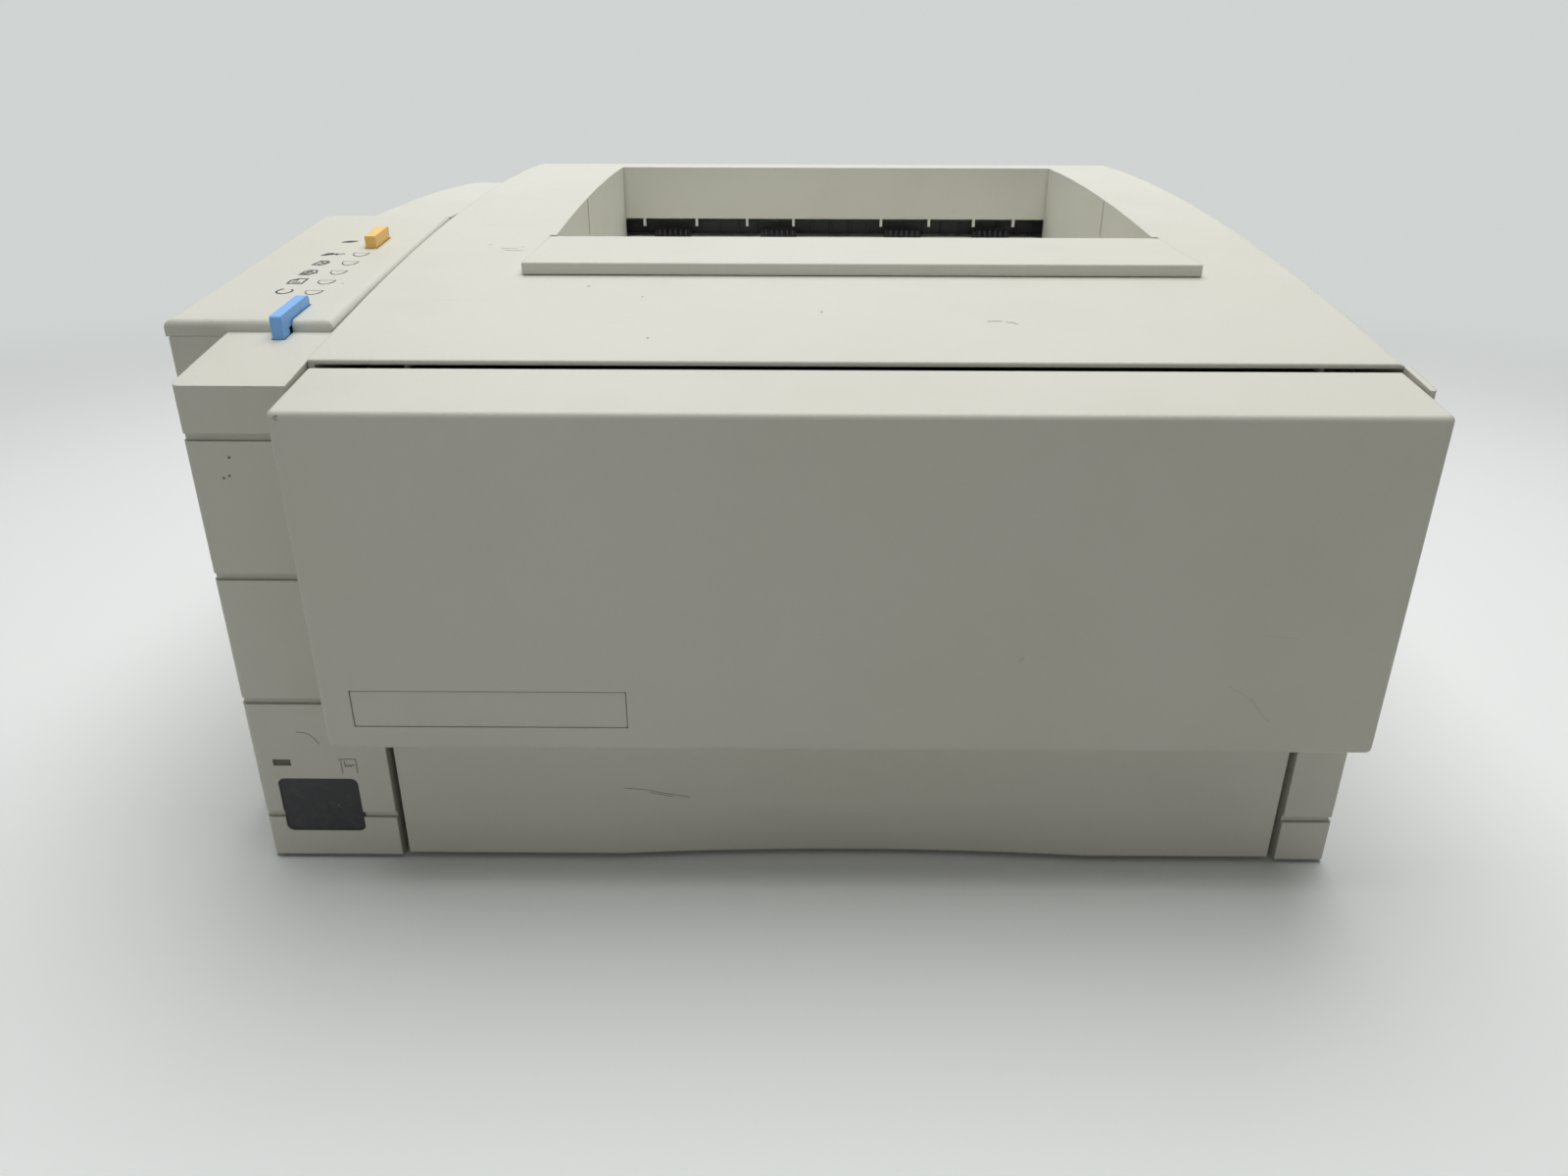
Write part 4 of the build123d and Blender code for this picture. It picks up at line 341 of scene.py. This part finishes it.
def darkPlastic(name, colour, roughness=0.45, dust=0.35, round=0.0004):
    s = Shader(name)
    film = s.spread(s.noise(35.0, 5.0), 0.45, 0.8)
    base = s.blend(s.math("MULTIPLY", film, dust), colour, dustSettings["film"])
    lint = s.specks(dustSettings["lintScale"], dustSettings["lintSize"],
                    dustSettings["lintShare"], 1.0)
    base = s.blend(s.math("MULTIPLY", lint, dustSettings["lintDepth"]), base, dustSettings["lint"])
    rough = s.math("ADD", s.math("MULTIPLY", film, 0.25), roughness)
    return s.finish(base, rough, s.noise(1300.0, 2.0), 0.00004, round)


def colouredPlastic(name, colour, roughness=0.42):
    s = Shader(name)
    rub = s.spread(s.noise(180.0, 4.0), 0.5, 0.85)
    base = s.blend(s.math("MULTIPLY", rub, 0.35), colour, shade(colour, 1.25))
    dirt = s.spread(s.noise(420.0, 3.0, None, 6.0), 0.62, 0.75)
    base = s.blend(s.math("MULTIPLY", dirt, 0.35), base, shade(colour, 0.55))
    rough = s.math("ADD", s.math("MULTIPLY", rub, 0.2), roughness)
    return s.finish(base, rough, s.noise(1600.0, 2.0), 0.00004, 0.0005)


def rubberSkin(name, colour, roughness=0.75):
    s = Shader(name)
    polish = s.spread(s.noise(90.0, 4.0, (0.2, 1, 1)), 0.35, 0.7)
    base = s.blend(polish, colour, shade(colour, 1.7))
    return s.finish(base, s.math("SUBTRACT", roughness, s.math("MULTIPLY", polish, 0.15)),
                    s.noise(900.0, 3.0), 0.00008, 0.0003)


def steelSkin(name, colour, roughness=0.32, stretch=(1, 40, 1), spangle=0.0):
    s = Shader(name)
    lines = s.noise(60.0, 5.0, stretch)
    tarnish = s.spread(s.noise(16.0, 5.0, None, 3.0), 0.4, 0.75)
    base = s.blend(s.math("MULTIPLY", tarnish, 0.5), colour, shade(colour, 0.62))
    if spangle:
        cells = s.add("ShaderNodeTexVoronoi", {"Vector": s.coords, "Scale": 130.0})
        parts = s.add("ShaderNodeSeparateColor", {"Color": cells.outputs["Color"]})
        base = s.blend(s.math("MULTIPLY", parts.outputs[0], spangle), base, shade(colour, 0.72))
    rough = s.math("ADD", s.math("MULTIPLY", lines, 0.25), roughness - 0.1)
    material = s.finish(base, rough, lines, 0.00003, 0.0003)
    s.skin.inputs["Metallic"].default_value = 1.0
    return material


smokeSettings = {"dust": (0.13, 0.13, 0.12), "dustShare": 0.14, "lint": (0.30, 0.30, 0.28),
                 "lintScale": 240.0, "lintSize": 0.12, "lintShare": 0.12, "lintDepth": 0.5}


def smokedSkin(name, colour):
    s = Shader(name)
    dust = s.spread(s.noise(300.0, 6.0), 0.5, 0.75)
    base = s.blend(s.math("MULTIPLY", dust, smokeSettings["dustShare"]), colour, smokeSettings["dust"])
    lint = s.specks(smokeSettings["lintScale"], smokeSettings["lintSize"],
                    smokeSettings["lintShare"], 3.0)
    base = s.blend(s.math("MULTIPLY", lint, smokeSettings["lintDepth"]), base, smokeSettings["lint"])
    rough = s.math("ADD", s.math("MULTIPLY", dust, 0.2), 0.30)
    return s.finish(base, rough, s.noise(700.0, 2.0), 0.00005, 0.0003)


def lensSkin(name, colour):
    s = Shader(name)
    milk = s.noise(260.0, 3.0)
    base = s.blend(milk, colour, shade(colour, 0.8))
    rough = s.math("ADD", s.math("MULTIPLY", milk, 0.15), 0.22)
    return s.finish(base, rough, s.noise(900.0, 2.0), 0.00003, 0.0002)


def boardSkin(name, colour):
    s = Shader(name)
    weave = s.noise(900.0, 1.0, (1, 1, 1))
    tracks = s.add("ShaderNodeTexBrick", {"Vector": s.coords, "Scale": 90.0, "Color1": colour,
                                          "Color2": shade(colour, 1.35), "Mortar": shade(colour, 0.7)})
    tracks.inputs["Mortar Size"].default_value = 0.05
    base = s.blend(s.math("MULTIPLY", weave, 0.35), tracks.outputs["Color"], shade(colour, 0.6))
    rough = s.math("ADD", s.math("MULTIPLY", weave, 0.1), 0.28)
    return s.finish(base, rough, tracks.outputs["Fac"], 0.00005)


def polishedCoat(name, colour, roughness=0.14):
    s = Shader(name)
    rings = s.noise(40.0, 3.0, (12, 1, 1))
    base = s.blend(rings, colour, shade(colour, 1.3))
    return s.finish(base, s.math("ADD", s.math("MULTIPLY", rings, 0.08), roughness))


skins = {
    "ivory": grainedPlastic("ivoryCover", (0.700, 0.697, 0.630), (0.655, 0.642, 0.552)),
    "grey_plastic": grainedPlastic("greyInner", (0.42, 0.42, 0.39), (0.37, 0.365, 0.33),
                                   speckShare=0.1),
    "black_plastic": darkPlastic("blackInner", (0.028, 0.028, 0.031)),
    "blue_plastic": colouredPlastic("blueButton", (0.215, 0.490, 0.960)),
    "orange_plastic": colouredPlastic("orangeButton", (0.985, 0.600, 0.170)),
    "smoked_lens": smokedSkin("smokedWindow", (0.022, 0.022, 0.027)),
    "clear_lens": lensSkin("milkyLens", (0.60, 0.59, 0.52)),
    "foot_rubber": rubberSkin("footRubber", (0.03, 0.03, 0.03)),
    "roller_rubber": rubberSkin("rollerRubber", (0.045, 0.045, 0.048)),
    "drum_coat": polishedCoat("drumCoat", (0.09, 0.30, 0.28)),
    "heat_coat": polishedCoat("heatCoat", (0.10, 0.065, 0.05), 0.22),
    "gear_nylon": colouredPlastic("gearNylon", (0.70, 0.70, 0.65), 0.35),
    "sheet_steel": steelSkin("zincSheet", (0.46, 0.47, 0.47), 0.50, spangle=0.6),
    "bright_steel": steelSkin("brightPins", (0.60, 0.60, 0.61), 0.28),
    "green_board": boardSkin("greenBoard", (0.035, 0.16, 0.075)),
}
for entry in frame["record"]["subparts"]:
    mesh = nodes[entry["node"]].data
    mesh.materials.clear()
    mesh.materials.append(skins[entry["material_slot"]])


# Nodes made of two materials get a second skin on the faces of the second one
def paintFaces(node, skin, isChosen):
    mesh = nodes[node].data
    mesh.materials.append(skin)
    index = len(mesh.materials) - 1
    for face in mesh.polygons:
        if isChosen(face.center):
            face.material_index = index


shaftSettings = {"radius": 3.3, "gearMargin": 0.1, "gearReach": 5.0}
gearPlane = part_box("idler_gear_1")[0].x - shaftSettings["gearMargin"] * mm  # gears lie right of it
shaftRadius = shaftSettings["radius"] * mm


def paintRoller(node):
    low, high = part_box(node)
    centreY = (low.y + high.y) / 2
    centreZ = (low.z + high.z) / 2
    if high.x > gearPlane + shaftSettings["gearReach"] * mm:
        paintFaces(node, skins["gear_nylon"], lambda at: at.x > gearPlane)
    paintFaces(node, skins["bright_steel"],
               lambda at: math.hypot(at.y - centreY, at.z - centreZ) < shaftRadius)


for rollerNode in ("drum", "registration_roller", "pressure_roller", "delivery_rollers", "heat_roller",
                   "transfer_roller", "pickup_roller", "tray_pickup_roller"):
    paintRoller(rollerNode)

pinSettings = {"inset": 2.0, "above": 7.0, "width": 18.2, "root": 6.5}
inletLow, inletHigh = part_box("power_inlet")


def isInletPin(at):
    middleX = (inletLow.x + inletHigh.x) / 2
    middleZ = (inletLow.z + inletHigh.z) / 2
    isNear = (abs(at.x - middleX) < pinSettings["width"] / 2 * mm
              and abs(at.z - middleZ) < pinSettings["above"] * mm)
    isInside = (at.y > inletLow.y + pinSettings["root"] * mm
                and at.y < inletHigh.y - pinSettings["inset"] * mm)
    return isNear and isInside


paintFaces("power_inlet", skins["bright_steel"], isInletPin)
lampSkin = smokedSkin("lampLens", (0.115, 0.108, 0.055))
nodes["status_lens"].data.materials[0] = lampSkin
boardSettings = {"thickness": 1.7}
chipSkin = darkPlastic("chipBody", (0.022, 0.022, 0.024))
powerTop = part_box("power_board")[0].z + boardSettings["thickness"] * mm
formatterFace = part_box("formatter_board")[1].x - boardSettings["thickness"] * mm
paintFaces("power_board", chipSkin, lambda at: at.z > powerTop)
paintFaces("formatter_board", chipSkin, lambda at: at.x < formatterFace)
print("stage: second skins on rollers, pins and boards")


# Printed marks: small signs beside the lights on the slope of the control panel
slopeSettings = {
    "frontY": -143.8, "frontZ": 186.6, "backY": 0.0, "backZ": 211.2,
    "markX": -174.7, "line": 0.68, "lift": 0.05, "thickness": 0.04,
}
strokeSettings = {"overlap": 0.35, "shortest": 1e-6}
inkSkin = darkPlastic("greyInk", (0.075, 0.072, 0.070), 0.6, 0.15, 0.0)


def arcPoints(centre, radiusX, radiusY, start, stop, count=14):
    points = []
    for step in range(count + 1):
        angle = math.radians(start + (stop - start) * step / count)
        points.append((centre[0] + radiusX * math.cos(angle), centre[1] + radiusY * math.sin(angle)))
    return points


def addPlate(grid, corners, place, thickness):
    low = [grid.verts.new(place(across, along, 0.0)) for across, along in corners]
    high = [grid.verts.new(place(across, along, thickness)) for across, along in corners]
    grid.faces.new(high)
    grid.faces.new(low[::-1])
    for index in range(len(low)):
        after = (index + 1) % len(low)
        grid.faces.new((low[index], low[after], high[after], high[index]))


def strokeMesh(grid, points, width, place, thickness):
    # one flat bar per stretch, each a little longer than it so that corners close
    for first, second in zip(points, points[1:]):
        along = Vector((second[0] - first[0], second[1] - first[1]))
        if along.length < strokeSettings["shortest"]:
            continue
        along.normalize()
        side = Vector((-along.y, along.x)) * width / 2
        start = Vector(first) - along * width * strokeSettings["overlap"]
        stop = Vector(second) + along * width * strokeSettings["overlap"]
        addPlate(grid, [start + side, start - side, stop - side, stop + side], place, thickness)


def addMesh(name, grid, skin, body):
    bmesh.ops.recalc_face_normals(grid, faces=grid.faces)
    mesh = bpy.data.meshes.new(name)
    grid.to_mesh(mesh)
    grid.free()
    mesh.materials.append(skin)
    obj = bpy.data.objects.new(name, mesh)
    bpy.context.scene.collection.objects.link(obj)
    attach(obj, body)


def addBlock(grid, low, high):
    middle = (Vector(low) + Vector(high)) / 2 * mm
    sizes = (Vector(high) - Vector(low)) * mm
    turn = Matrix.Translation(middle) @ Matrix.Diagonal((*sizes, 1.0))
    bmesh.ops.create_cube(grid, size=1.0, matrix=turn)


def slopePlace(markY, settings):
    rise = settings["backZ"] - settings["frontZ"]
    run = settings["backY"] - settings["frontY"]
    lean = math.atan2(rise, run)
    up = Vector((0, math.cos(lean), math.sin(lean)))
    out = Vector((0, -math.sin(lean), math.cos(lean)))
    height = settings["frontZ"] + (markY - settings["frontY"]) * rise / run
    centre = Vector((settings["markX"], markY, height))

    def toPlace(across, along, above):
        return (centre + Vector((across, 0, 0)) + up * along + out * (settings["lift"] + above)) * mm

    return toPlace


panelMarks = {  # each sign's strokes under its place along the slope
    -112.0: [arcPoints((0, 0), 2.7, 2.9, 120, 400)],
    -100.0: [
        [(-2.8, -3.0), (2.6, -3.0), (2.6, 3.0), (-0.6, 3.0), (-2.8, 1.0), (-2.8, -3.0)],
        [(-0.6, 3.0), (-0.6, 1.0), (-2.8, 1.0)],
        [(-1.4, -1.4), (1.2, -1.4)],
    ],
    -89.0: [
        [(-2.6, -3.0), (0.8, -3.0), (2.8, -0.6), (2.0, 2.6), (-0.8, 3.0), (-2.2, 1.0), (-2.6, -3.0)],
        [(-1.6, -1.6), (0.2, 0.6), (1.8, -0.6)],
        [(-1.6, -2.2), (1.0, -2.0)],
        [(-1.0, 0.6), (0.6, 1.8)],
    ],
    -76.5: [
        [(-2.8, -2.6), (-0.8, -2.6), (0.2, -3.0), (1.6, -2.2), (2.6, 0.8), (1.2, 2.8), (-1.2, 2.8),
         (-2.8, -2.6)],
        [(-0.8, -1.6), (0.8, -0.4), (1.6, 1.2)],
        [(-0.6, 1.6), (0.4, 0.2)],
    ],
    -64.5: [
        [(-4.0, -1.6), (-2.6, 1.2), (-0.6, 1.8), (0.2, 0.2), (-2.2, -1.2), (-4.0, -1.6)],
        [(-3.0, -0.6), (-0.8, 0.8)],
        [(0.0, 0.2), (1.2, 1.2), (1.4, -0.8), (3.2, 0.8), (4.2, 0.6)],
    ],
    -45.6: [
        [(-2.8, -1.1), (0.8, -1.1), (2.8, 0.9)],
        [(-2.6, -0.6), (1.0, -0.6)],
        [(-2.2, 0.0), (2.2, 0.1)],
        [(-1.6, 0.5), (2.4, 0.5)],
        [(-0.6, 0.9), (2.8, 0.9)],
    ],
}
markGrid = bmesh.new()
for markY, strokes in panelMarks.items():
    place = slopePlace(markY, slopeSettings)
    for points in strokes:
        strokeMesh(markGrid, points, slopeSettings["line"], place, slopeSettings["thickness"])
addMesh("panelMarks", markGrid, inkSkin, "printer_body")

# The light windows: a thin ivory skin over each light guide, with its moulded outline
windowSettings = {"x": -164.0, "firstY": -113.5, "pitch": 12.2, "count": 5, "halfWidth": 2.95,
                  "rear": 2.35, "reach": 4.7, "steps": 18, "line": 0.42, "skinHeight": 0.02}
outlineSkin = darkPlastic("windowOutline", (0.17, 0.165, 0.15), 0.6, 0.3, 0.0)


def moonPoints(settings):
    curve = arcPoints((0, settings["rear"]), settings["halfWidth"], settings["reach"], 0, -180,
                      settings["steps"])
    return curve + [curve[0]]


skinGrid = bmesh.new()
outlineGrid = bmesh.new()
for index in range(windowSettings["count"]):
    windowY = windowSettings["firstY"] + index * windowSettings["pitch"]
    place = slopePlace(windowY, {**slopeSettings, "markX": windowSettings["x"]})
    moon = moonPoints(windowSettings)
    addPlate(skinGrid, moon[:-1], place, windowSettings["skinHeight"])
    strokeMesh(outlineGrid, moon, windowSettings["line"], place, slopeSettings["thickness"])
addMesh("lightSkins", skinGrid, skins["ivory"], "printer_body")
addMesh("lightOutlines", outlineGrid, outlineSkin, "printer_body")

# The sign above the infrared window: a faint frame with a sender and its ray inside
signSettings = {"x": -147.9, "z": 39.1, "line": 0.42, "lift": 0.04}
signSkin = darkPlastic("faintSign", (0.36, 0.355, 0.32), 0.6, 0.5, 0.0)
signStrokes = [
    [(-2.9, 2.9), (3.0, 2.9), (3.0, -2.7)],
    [(-2.3, 1.5), (-2.3, -2.9)],
    [(-2.6, 2.2), (-2.0, 2.2)],
    [(-1.0, 2.0), (-1.0, -0.2)],
    [(-0.6, 0.5), (0.0, -0.1), (0.5, 0.5), (1.0, -0.1), (1.5, 0.5), (2.2, 0.4)],
]
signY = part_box("left_cover")[0].y / mm
signGrid = bmesh.new()


def signPlace(across, along, height):
    return Vector((signSettings["x"] + across, signY - signSettings["lift"] - height,
                   signSettings["z"] + along)) * mm


for points in signStrokes:
    strokeMesh(signGrid, points, signSettings["line"], signPlace, slopeSettings["thickness"])
addMesh("windowSign", signGrid, signSkin, "printer_body")
print("stage: printed marks")


# Wear: scratches and specks on the front and the cover, a brown stain and a yellow smudge
wearSettings = {"lift": 0.03, "thickness": 0.02}
crownSettings = {"radius": 2089.0, "peakY": 300.0, "peakZ": 231.3}
scratchSkin = darkPlastic("darkScratch", (0.33, 0.31, 0.26), 0.6, 0.4, 0.0)
speckSkin = darkPlastic("darkSpeck", (0.20, 0.19, 0.165), 0.6, 0.3, 0.0)
stainSkin = darkPlastic("brownStain", (0.44, 0.36, 0.28), 0.7, 0.2, 0.0)
smudgeSkin = darkPlastic("yellowSmudge", (0.60, 0.565, 0.47), 0.55, 0.3, 0.0)


def facePlace(x, z, faceY):
    # on an upright face at the front
    def toPlace(across, along, height):
        return Vector((x + across, faceY - wearSettings["lift"] - height, z + along)) * mm

    return toPlace


def crownPlace(x, y):
    # on the top cover, which is a shallow arc from front to back
    def toPlace(across, along, height):
        run = y + along - crownSettings["peakY"]
        drop = crownSettings["radius"] - math.sqrt(crownSettings["radius"] ** 2 - run ** 2)
        top = crownSettings["peakZ"] - drop
        return Vector((x + across, y + along, top + wearSettings["lift"] + height)) * mm

    return toPlace


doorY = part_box("front_door")[0].y / mm
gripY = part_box("cassette_front")[0].y / mm
wearMarks = [
    {"name": "columnScratch", "body": "printer_body", "skin": scratchSkin, "width": 0.3,
     "place": facePlace(-163.8, 52.9, signY),
     "strokes": [[(0, 0), (2.4, -0.2), (4.4, -1.0), (5.9, -2.6), (7.2, -4.7)]]},
    {"name": "columnSpecks", "body": "printer_body", "skin": speckSkin, "width": 0.75,
     "place": facePlace(-167.4, 151.2, signY),
     "strokes": [[(0, 0), (0.4, 0.1)], [(-2.9, -6.7), (-2.6, -6.6)], [(-1.0, -5.9), (-0.8, -5.9)]]},
    {"name": "doorStain", "body": "front_door", "skin": stainSkin, "width": 0.4,
     "place": facePlace(-142.6, 168.0, doorY),
     "strokes": [[(0, 0), (0.5, 0.5), (1.1, 0.6)], [(0.3, -0.5), (0.9, -0.4)]]},
    {"name": "cassetteScratch", "body": "cassette", "skin": scratchSkin, "width": 0.28,
     "place": facePlace(-51.0, 30.2, gripY),
     "strokes": [[(0, 0), (7.0, -0.6), (15.0, -2.2), (23.0, -3.6)], [(9.0, -1.8), (17.0, -3.4)]]},
    {"name": "coverSmudge", "body": "top_cover", "skin": smudgeSkin, "width": 0.7,
     "place": crownPlace(-111.0, -51.0),
     "strokes": [[(0, 0), (3.0, -0.8), (6.5, -0.6)], [(2.0, -3.0), (7.0, -3.6), (9.5, -2.8)],
                 [(8.0, 2.0), (8.6, 2.2)], [(-6.0, 5.0), (-5.4, 5.2)]]},
    {"name": "coverScratch", "body": "top_cover", "skin": scratchSkin, "width": 0.32,
     "place": crownPlace(74.6, -133.9),
     "strokes": [[(0, 0), (2.4, 0.3), (4.7, 0.2)], [(6.2, -0.6), (8.0, -0.8), (9.9, -2.5)]]},
    {"name": "coverSpecks", "body": "top_cover", "skin": speckSkin, "width": 0.5,
     "place": crownPlace(-40.2, -149.5),
     "strokes": [[(0, 0), (0.5, 0.1)], [(-6.2, 38.3), (-5.8, 38.4)],
                 [(-27.5, 49.8), (-26.9, 49.9)], [(58.0, 24.0), (58.4, 24.1)]]},
]
for mark in wearMarks:
    wearGrid = bmesh.new()
    for points in mark["strokes"]:
        strokeMesh(wearGrid, points, mark["width"], mark["place"], wearSettings["thickness"])
    addMesh(mark["name"], wearGrid, mark["skin"], mark["body"])
print("stage: wear marks")


# The thin moulding line down each side wall of the output bin
binLineSettings = {"left": -92.45, "right": 160.45, "y": 48.0, "width": 0.7, "depth": 0.35,
                   "sink": 0.1, "foot": 199.0, "belowRim": 0.7}


def makeBinLines(settings):
    rim = crownPlace(0.0, settings["y"])(0.0, 0.0, 0.0).z / mm
    grid = bmesh.new()
    for wallX, side in ((settings["left"], 1), (settings["right"], -1)):
        edges = sorted((wallX - side * settings["sink"], wallX + side * settings["depth"]))
        addBlock(grid, (edges[0], settings["y"], settings["foot"]),
                 (edges[1], settings["y"] + settings["width"], rim - settings["belowRim"]))
    addMesh("binLines", grid, skins["ivory"], "top_cover")


makeBinLines(binLineSettings)
print("stage: bin wall lines")


# Coil springs under the lift plate, one tree that coils and sets both
springSettings = {"count": 2, "turns": 5.5, "wire": 0.7, "radius": 5.0, "solidWidth": 12.0,
                  "resolution": 14, "wireSides": 10,
                  "keep": 0.045}  # share of the height that is left with the plate at its lowest


def treeSocket(tree, name, kind, value):
    socket = tree.interface.new_socket(name, in_out="INPUT", socket_type=kind)
    socket.default_value = value


def startTree(name):
    tree = bpy.data.node_groups.new(name, "GeometryNodeTree")
    tree.interface.new_socket("Geometry", in_out="OUTPUT", socket_type="NodeSocketGeometry")
    return tree


def endTree(tree, points, piece, skin):
    # sets a copy of the piece on each point, makes the copies real and gives them their material
    copies = tree.nodes.new("GeometryNodeInstanceOnPoints")
    real = tree.nodes.new("GeometryNodeRealizeInstances")
    paint = tree.nodes.new("GeometryNodeSetMaterial")
    paint.inputs["Material"].default_value = skin
    out = tree.nodes.new("NodeGroupOutput")
    tree.links.new(points, copies.inputs["Points"])
    tree.links.new(piece, copies.inputs["Instance"])
    tree.links.new(copies.outputs[0], real.inputs[0])
    tree.links.new(real.outputs[0], paint.inputs["Geometry"])
    tree.links.new(paint.outputs[0], out.inputs[0])


def buildSpringTree(settings, height, gap, skin):
    tree = startTree("coilSprings")
    treeSocket(tree, "Turns", "NodeSocketFloat", settings["turns"])
    treeSocket(tree, "Coil Radius", "NodeSocketFloat", settings["radius"] * mm)
    treeSocket(tree, "Wire Radius", "NodeSocketFloat", settings["wire"] * mm)
    treeSocket(tree, "Height", "NodeSocketFloat", height)
    treeSocket(tree, "Gap", "NodeSocketFloat", gap)
    given = tree.nodes.new("NodeGroupInput")
    spiral = tree.nodes.new("GeometryNodeCurveSpiral")
    spiral.inputs["Resolution"].default_value = settings["resolution"]
    spiral.inputs["Reverse"].default_value = False
    profile = tree.nodes.new("GeometryNodeCurvePrimitiveCircle")
    profile.inputs["Resolution"].default_value = settings["wireSides"]
    sweep = tree.nodes.new("GeometryNodeCurveToMesh")
    sweep.inputs["Fill Caps"].default_value = True
    pair = tree.nodes.new("GeometryNodeMeshLine")
    pair.mode = "OFFSET"
    pair.inputs["Count"].default_value = settings["count"]
    step = tree.nodes.new("ShaderNodeCombineXYZ")
    shift = tree.nodes.new("ShaderNodeCombineXYZ")
    half = tree.nodes.new("ShaderNodeMath")
    half.operation = "MULTIPLY"
    half.inputs[1].default_value = -0.5  # the first spring stands half the gap left of the middle
    link = tree.links.new
    link(given.outputs["Turns"], spiral.inputs["Rotations"])
    link(given.outputs["Coil Radius"], spiral.inputs["Start Radius"])
    link(given.outputs["Coil Radius"], spiral.inputs["End Radius"])
    link(given.outputs["Height"], spiral.inputs["Height"])
    link(given.outputs["Wire Radius"], profile.inputs["Radius"])
    link(given.outputs["Gap"], step.inputs["X"])
    link(given.outputs["Gap"], half.inputs[0])
    link(half.outputs[0], shift.inputs["X"])
    link(step.outputs[0], pair.inputs["Offset"])
    link(shift.outputs[0], pair.inputs["Start Location"])
    link(spiral.outputs[0], sweep.inputs["Curve"])
    link(profile.outputs[0], sweep.inputs["Profile Curve"])
    endTree(tree, pair.outputs[0], sweep.outputs[0], skin)
    return tree


def bakeTree(name, tree, values, offset, body):
    # runs a tree on an empty mesh, moves the result to its place and gives it to a body
    seed = bpy.data.objects.new(name + "Seed", bpy.data.meshes.new(name + "Seed"))
    bpy.context.scene.collection.objects.link(seed)
    modifier = seed.modifiers.new("tree", "NODES")
    modifier.node_group = tree
    for item in tree.interface.items_tree:
        if item.item_type == "SOCKET" and item.in_out == "INPUT" and item.name in values:
            modifier[item.identifier] = values[item.name]
    graph = bpy.context.evaluated_depsgraph_get()
    graph.update()
    made = bpy.data.meshes.new_from_object(seed.evaluated_get(graph))
    bpy.data.objects.remove(seed)
    made.transform(Matrix.Translation(offset))
    obj = bpy.data.objects.new(name, made)
    bpy.context.scene.collection.objects.link(obj)
    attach(obj, body)
    return obj


springLow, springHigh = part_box("lift_springs")
springGap = (springHigh.x - springLow.x) - springSettings["solidWidth"] * mm
wireRadius = springSettings["wire"] * mm
springHeight = springHigh.z - springLow.z - 2 * wireRadius
springTree = buildSpringTree(springSettings, springHeight, springGap, skins["bright_steel"])
springFoot = Vector(((springLow.x + springHigh.x) / 2, (springLow.y + springHigh.y) / 2,
                     springLow.z + wireRadius))
springs = bakeTree("coilSprings", springTree, {"Turns": springSettings["turns"]}, springFoot,
                   "cassette")
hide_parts("lift_springs")
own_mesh(springs)
print("stage: coil springs")


# Black upper guide behind the delivery slot: a strip with a row of ribs
guideSettings = {"front": 193.6, "thick": 1.2, "foot": 184.4, "height": 12.0, "inset": 18.0,
                 "ribPitch": 11.5, "ribWidth": 1.0, "ribDepth": 1.8, "ribHeight": 11.0, "ribSink": 0.2}


def buildRibTree(settings, count, skin):
    tree = startTree("guideRibs")
    treeSocket(tree, "Count", "NodeSocketInt", count)
    treeSocket(tree, "Pitch", "NodeSocketFloat", settings["ribPitch"] * mm)
    treeSocket(tree, "Width", "NodeSocketFloat", settings["ribWidth"] * mm)
    treeSocket(tree, "Depth", "NodeSocketFloat", settings["ribDepth"] * mm)
    treeSocket(tree, "Height", "NodeSocketFloat", settings["ribHeight"] * mm)
    given = tree.nodes.new("NodeGroupInput")
    row = tree.nodes.new("GeometryNodeMeshLine")
    row.mode = "OFFSET"
    step = tree.nodes.new("ShaderNodeCombineXYZ")
    size = tree.nodes.new("ShaderNodeCombineXYZ")
    rib = tree.nodes.new("GeometryNodeMeshCube")
    link = tree.links.new
    link(given.outputs["Count"], row.inputs["Count"])
    link(given.outputs["Pitch"], step.inputs["X"])
    link(step.outputs[0], row.inputs["Offset"])
    link(given.outputs["Width"], size.inputs["X"])
    link(given.outputs["Depth"], size.inputs["Y"])
    link(given.outputs["Height"], size.inputs["Z"])
    link(size.outputs[0], rib.inputs["Size"])
    endTree(tree, row.outputs[0], rib.outputs[0], skin)
    return tree


def makeUpperGuide(settings):
    low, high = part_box("delivery_guide")
    left = low.x / mm + settings["inset"]
    right = high.x / mm - settings["inset"]
    grid = bmesh.new()
    addBlock(grid, (left, settings["front"], settings["foot"]),
             (right, settings["front"] + settings["thick"], settings["foot"] + settings["height"]))
    addMesh("upperGuide", grid, skins["black_plastic"], "printer_body")
    count = int((right - left) / settings["ribPitch"])
    ribTree = buildRibTree(settings, count, skins["black_plastic"])
    ribY = settings["front"] - settings["ribDepth"] / 2 + settings["ribSink"]
    ribZ = settings["foot"] + settings["ribHeight"] / 2
    firstX = left + settings["ribPitch"] / 2
    bakeTree("guideRibs", ribTree, {"Count": count}, Vector((firstX, ribY, ribZ)) * mm, "printer_body")


makeUpperGuide(guideSettings)
print("stage: upper delivery guide")
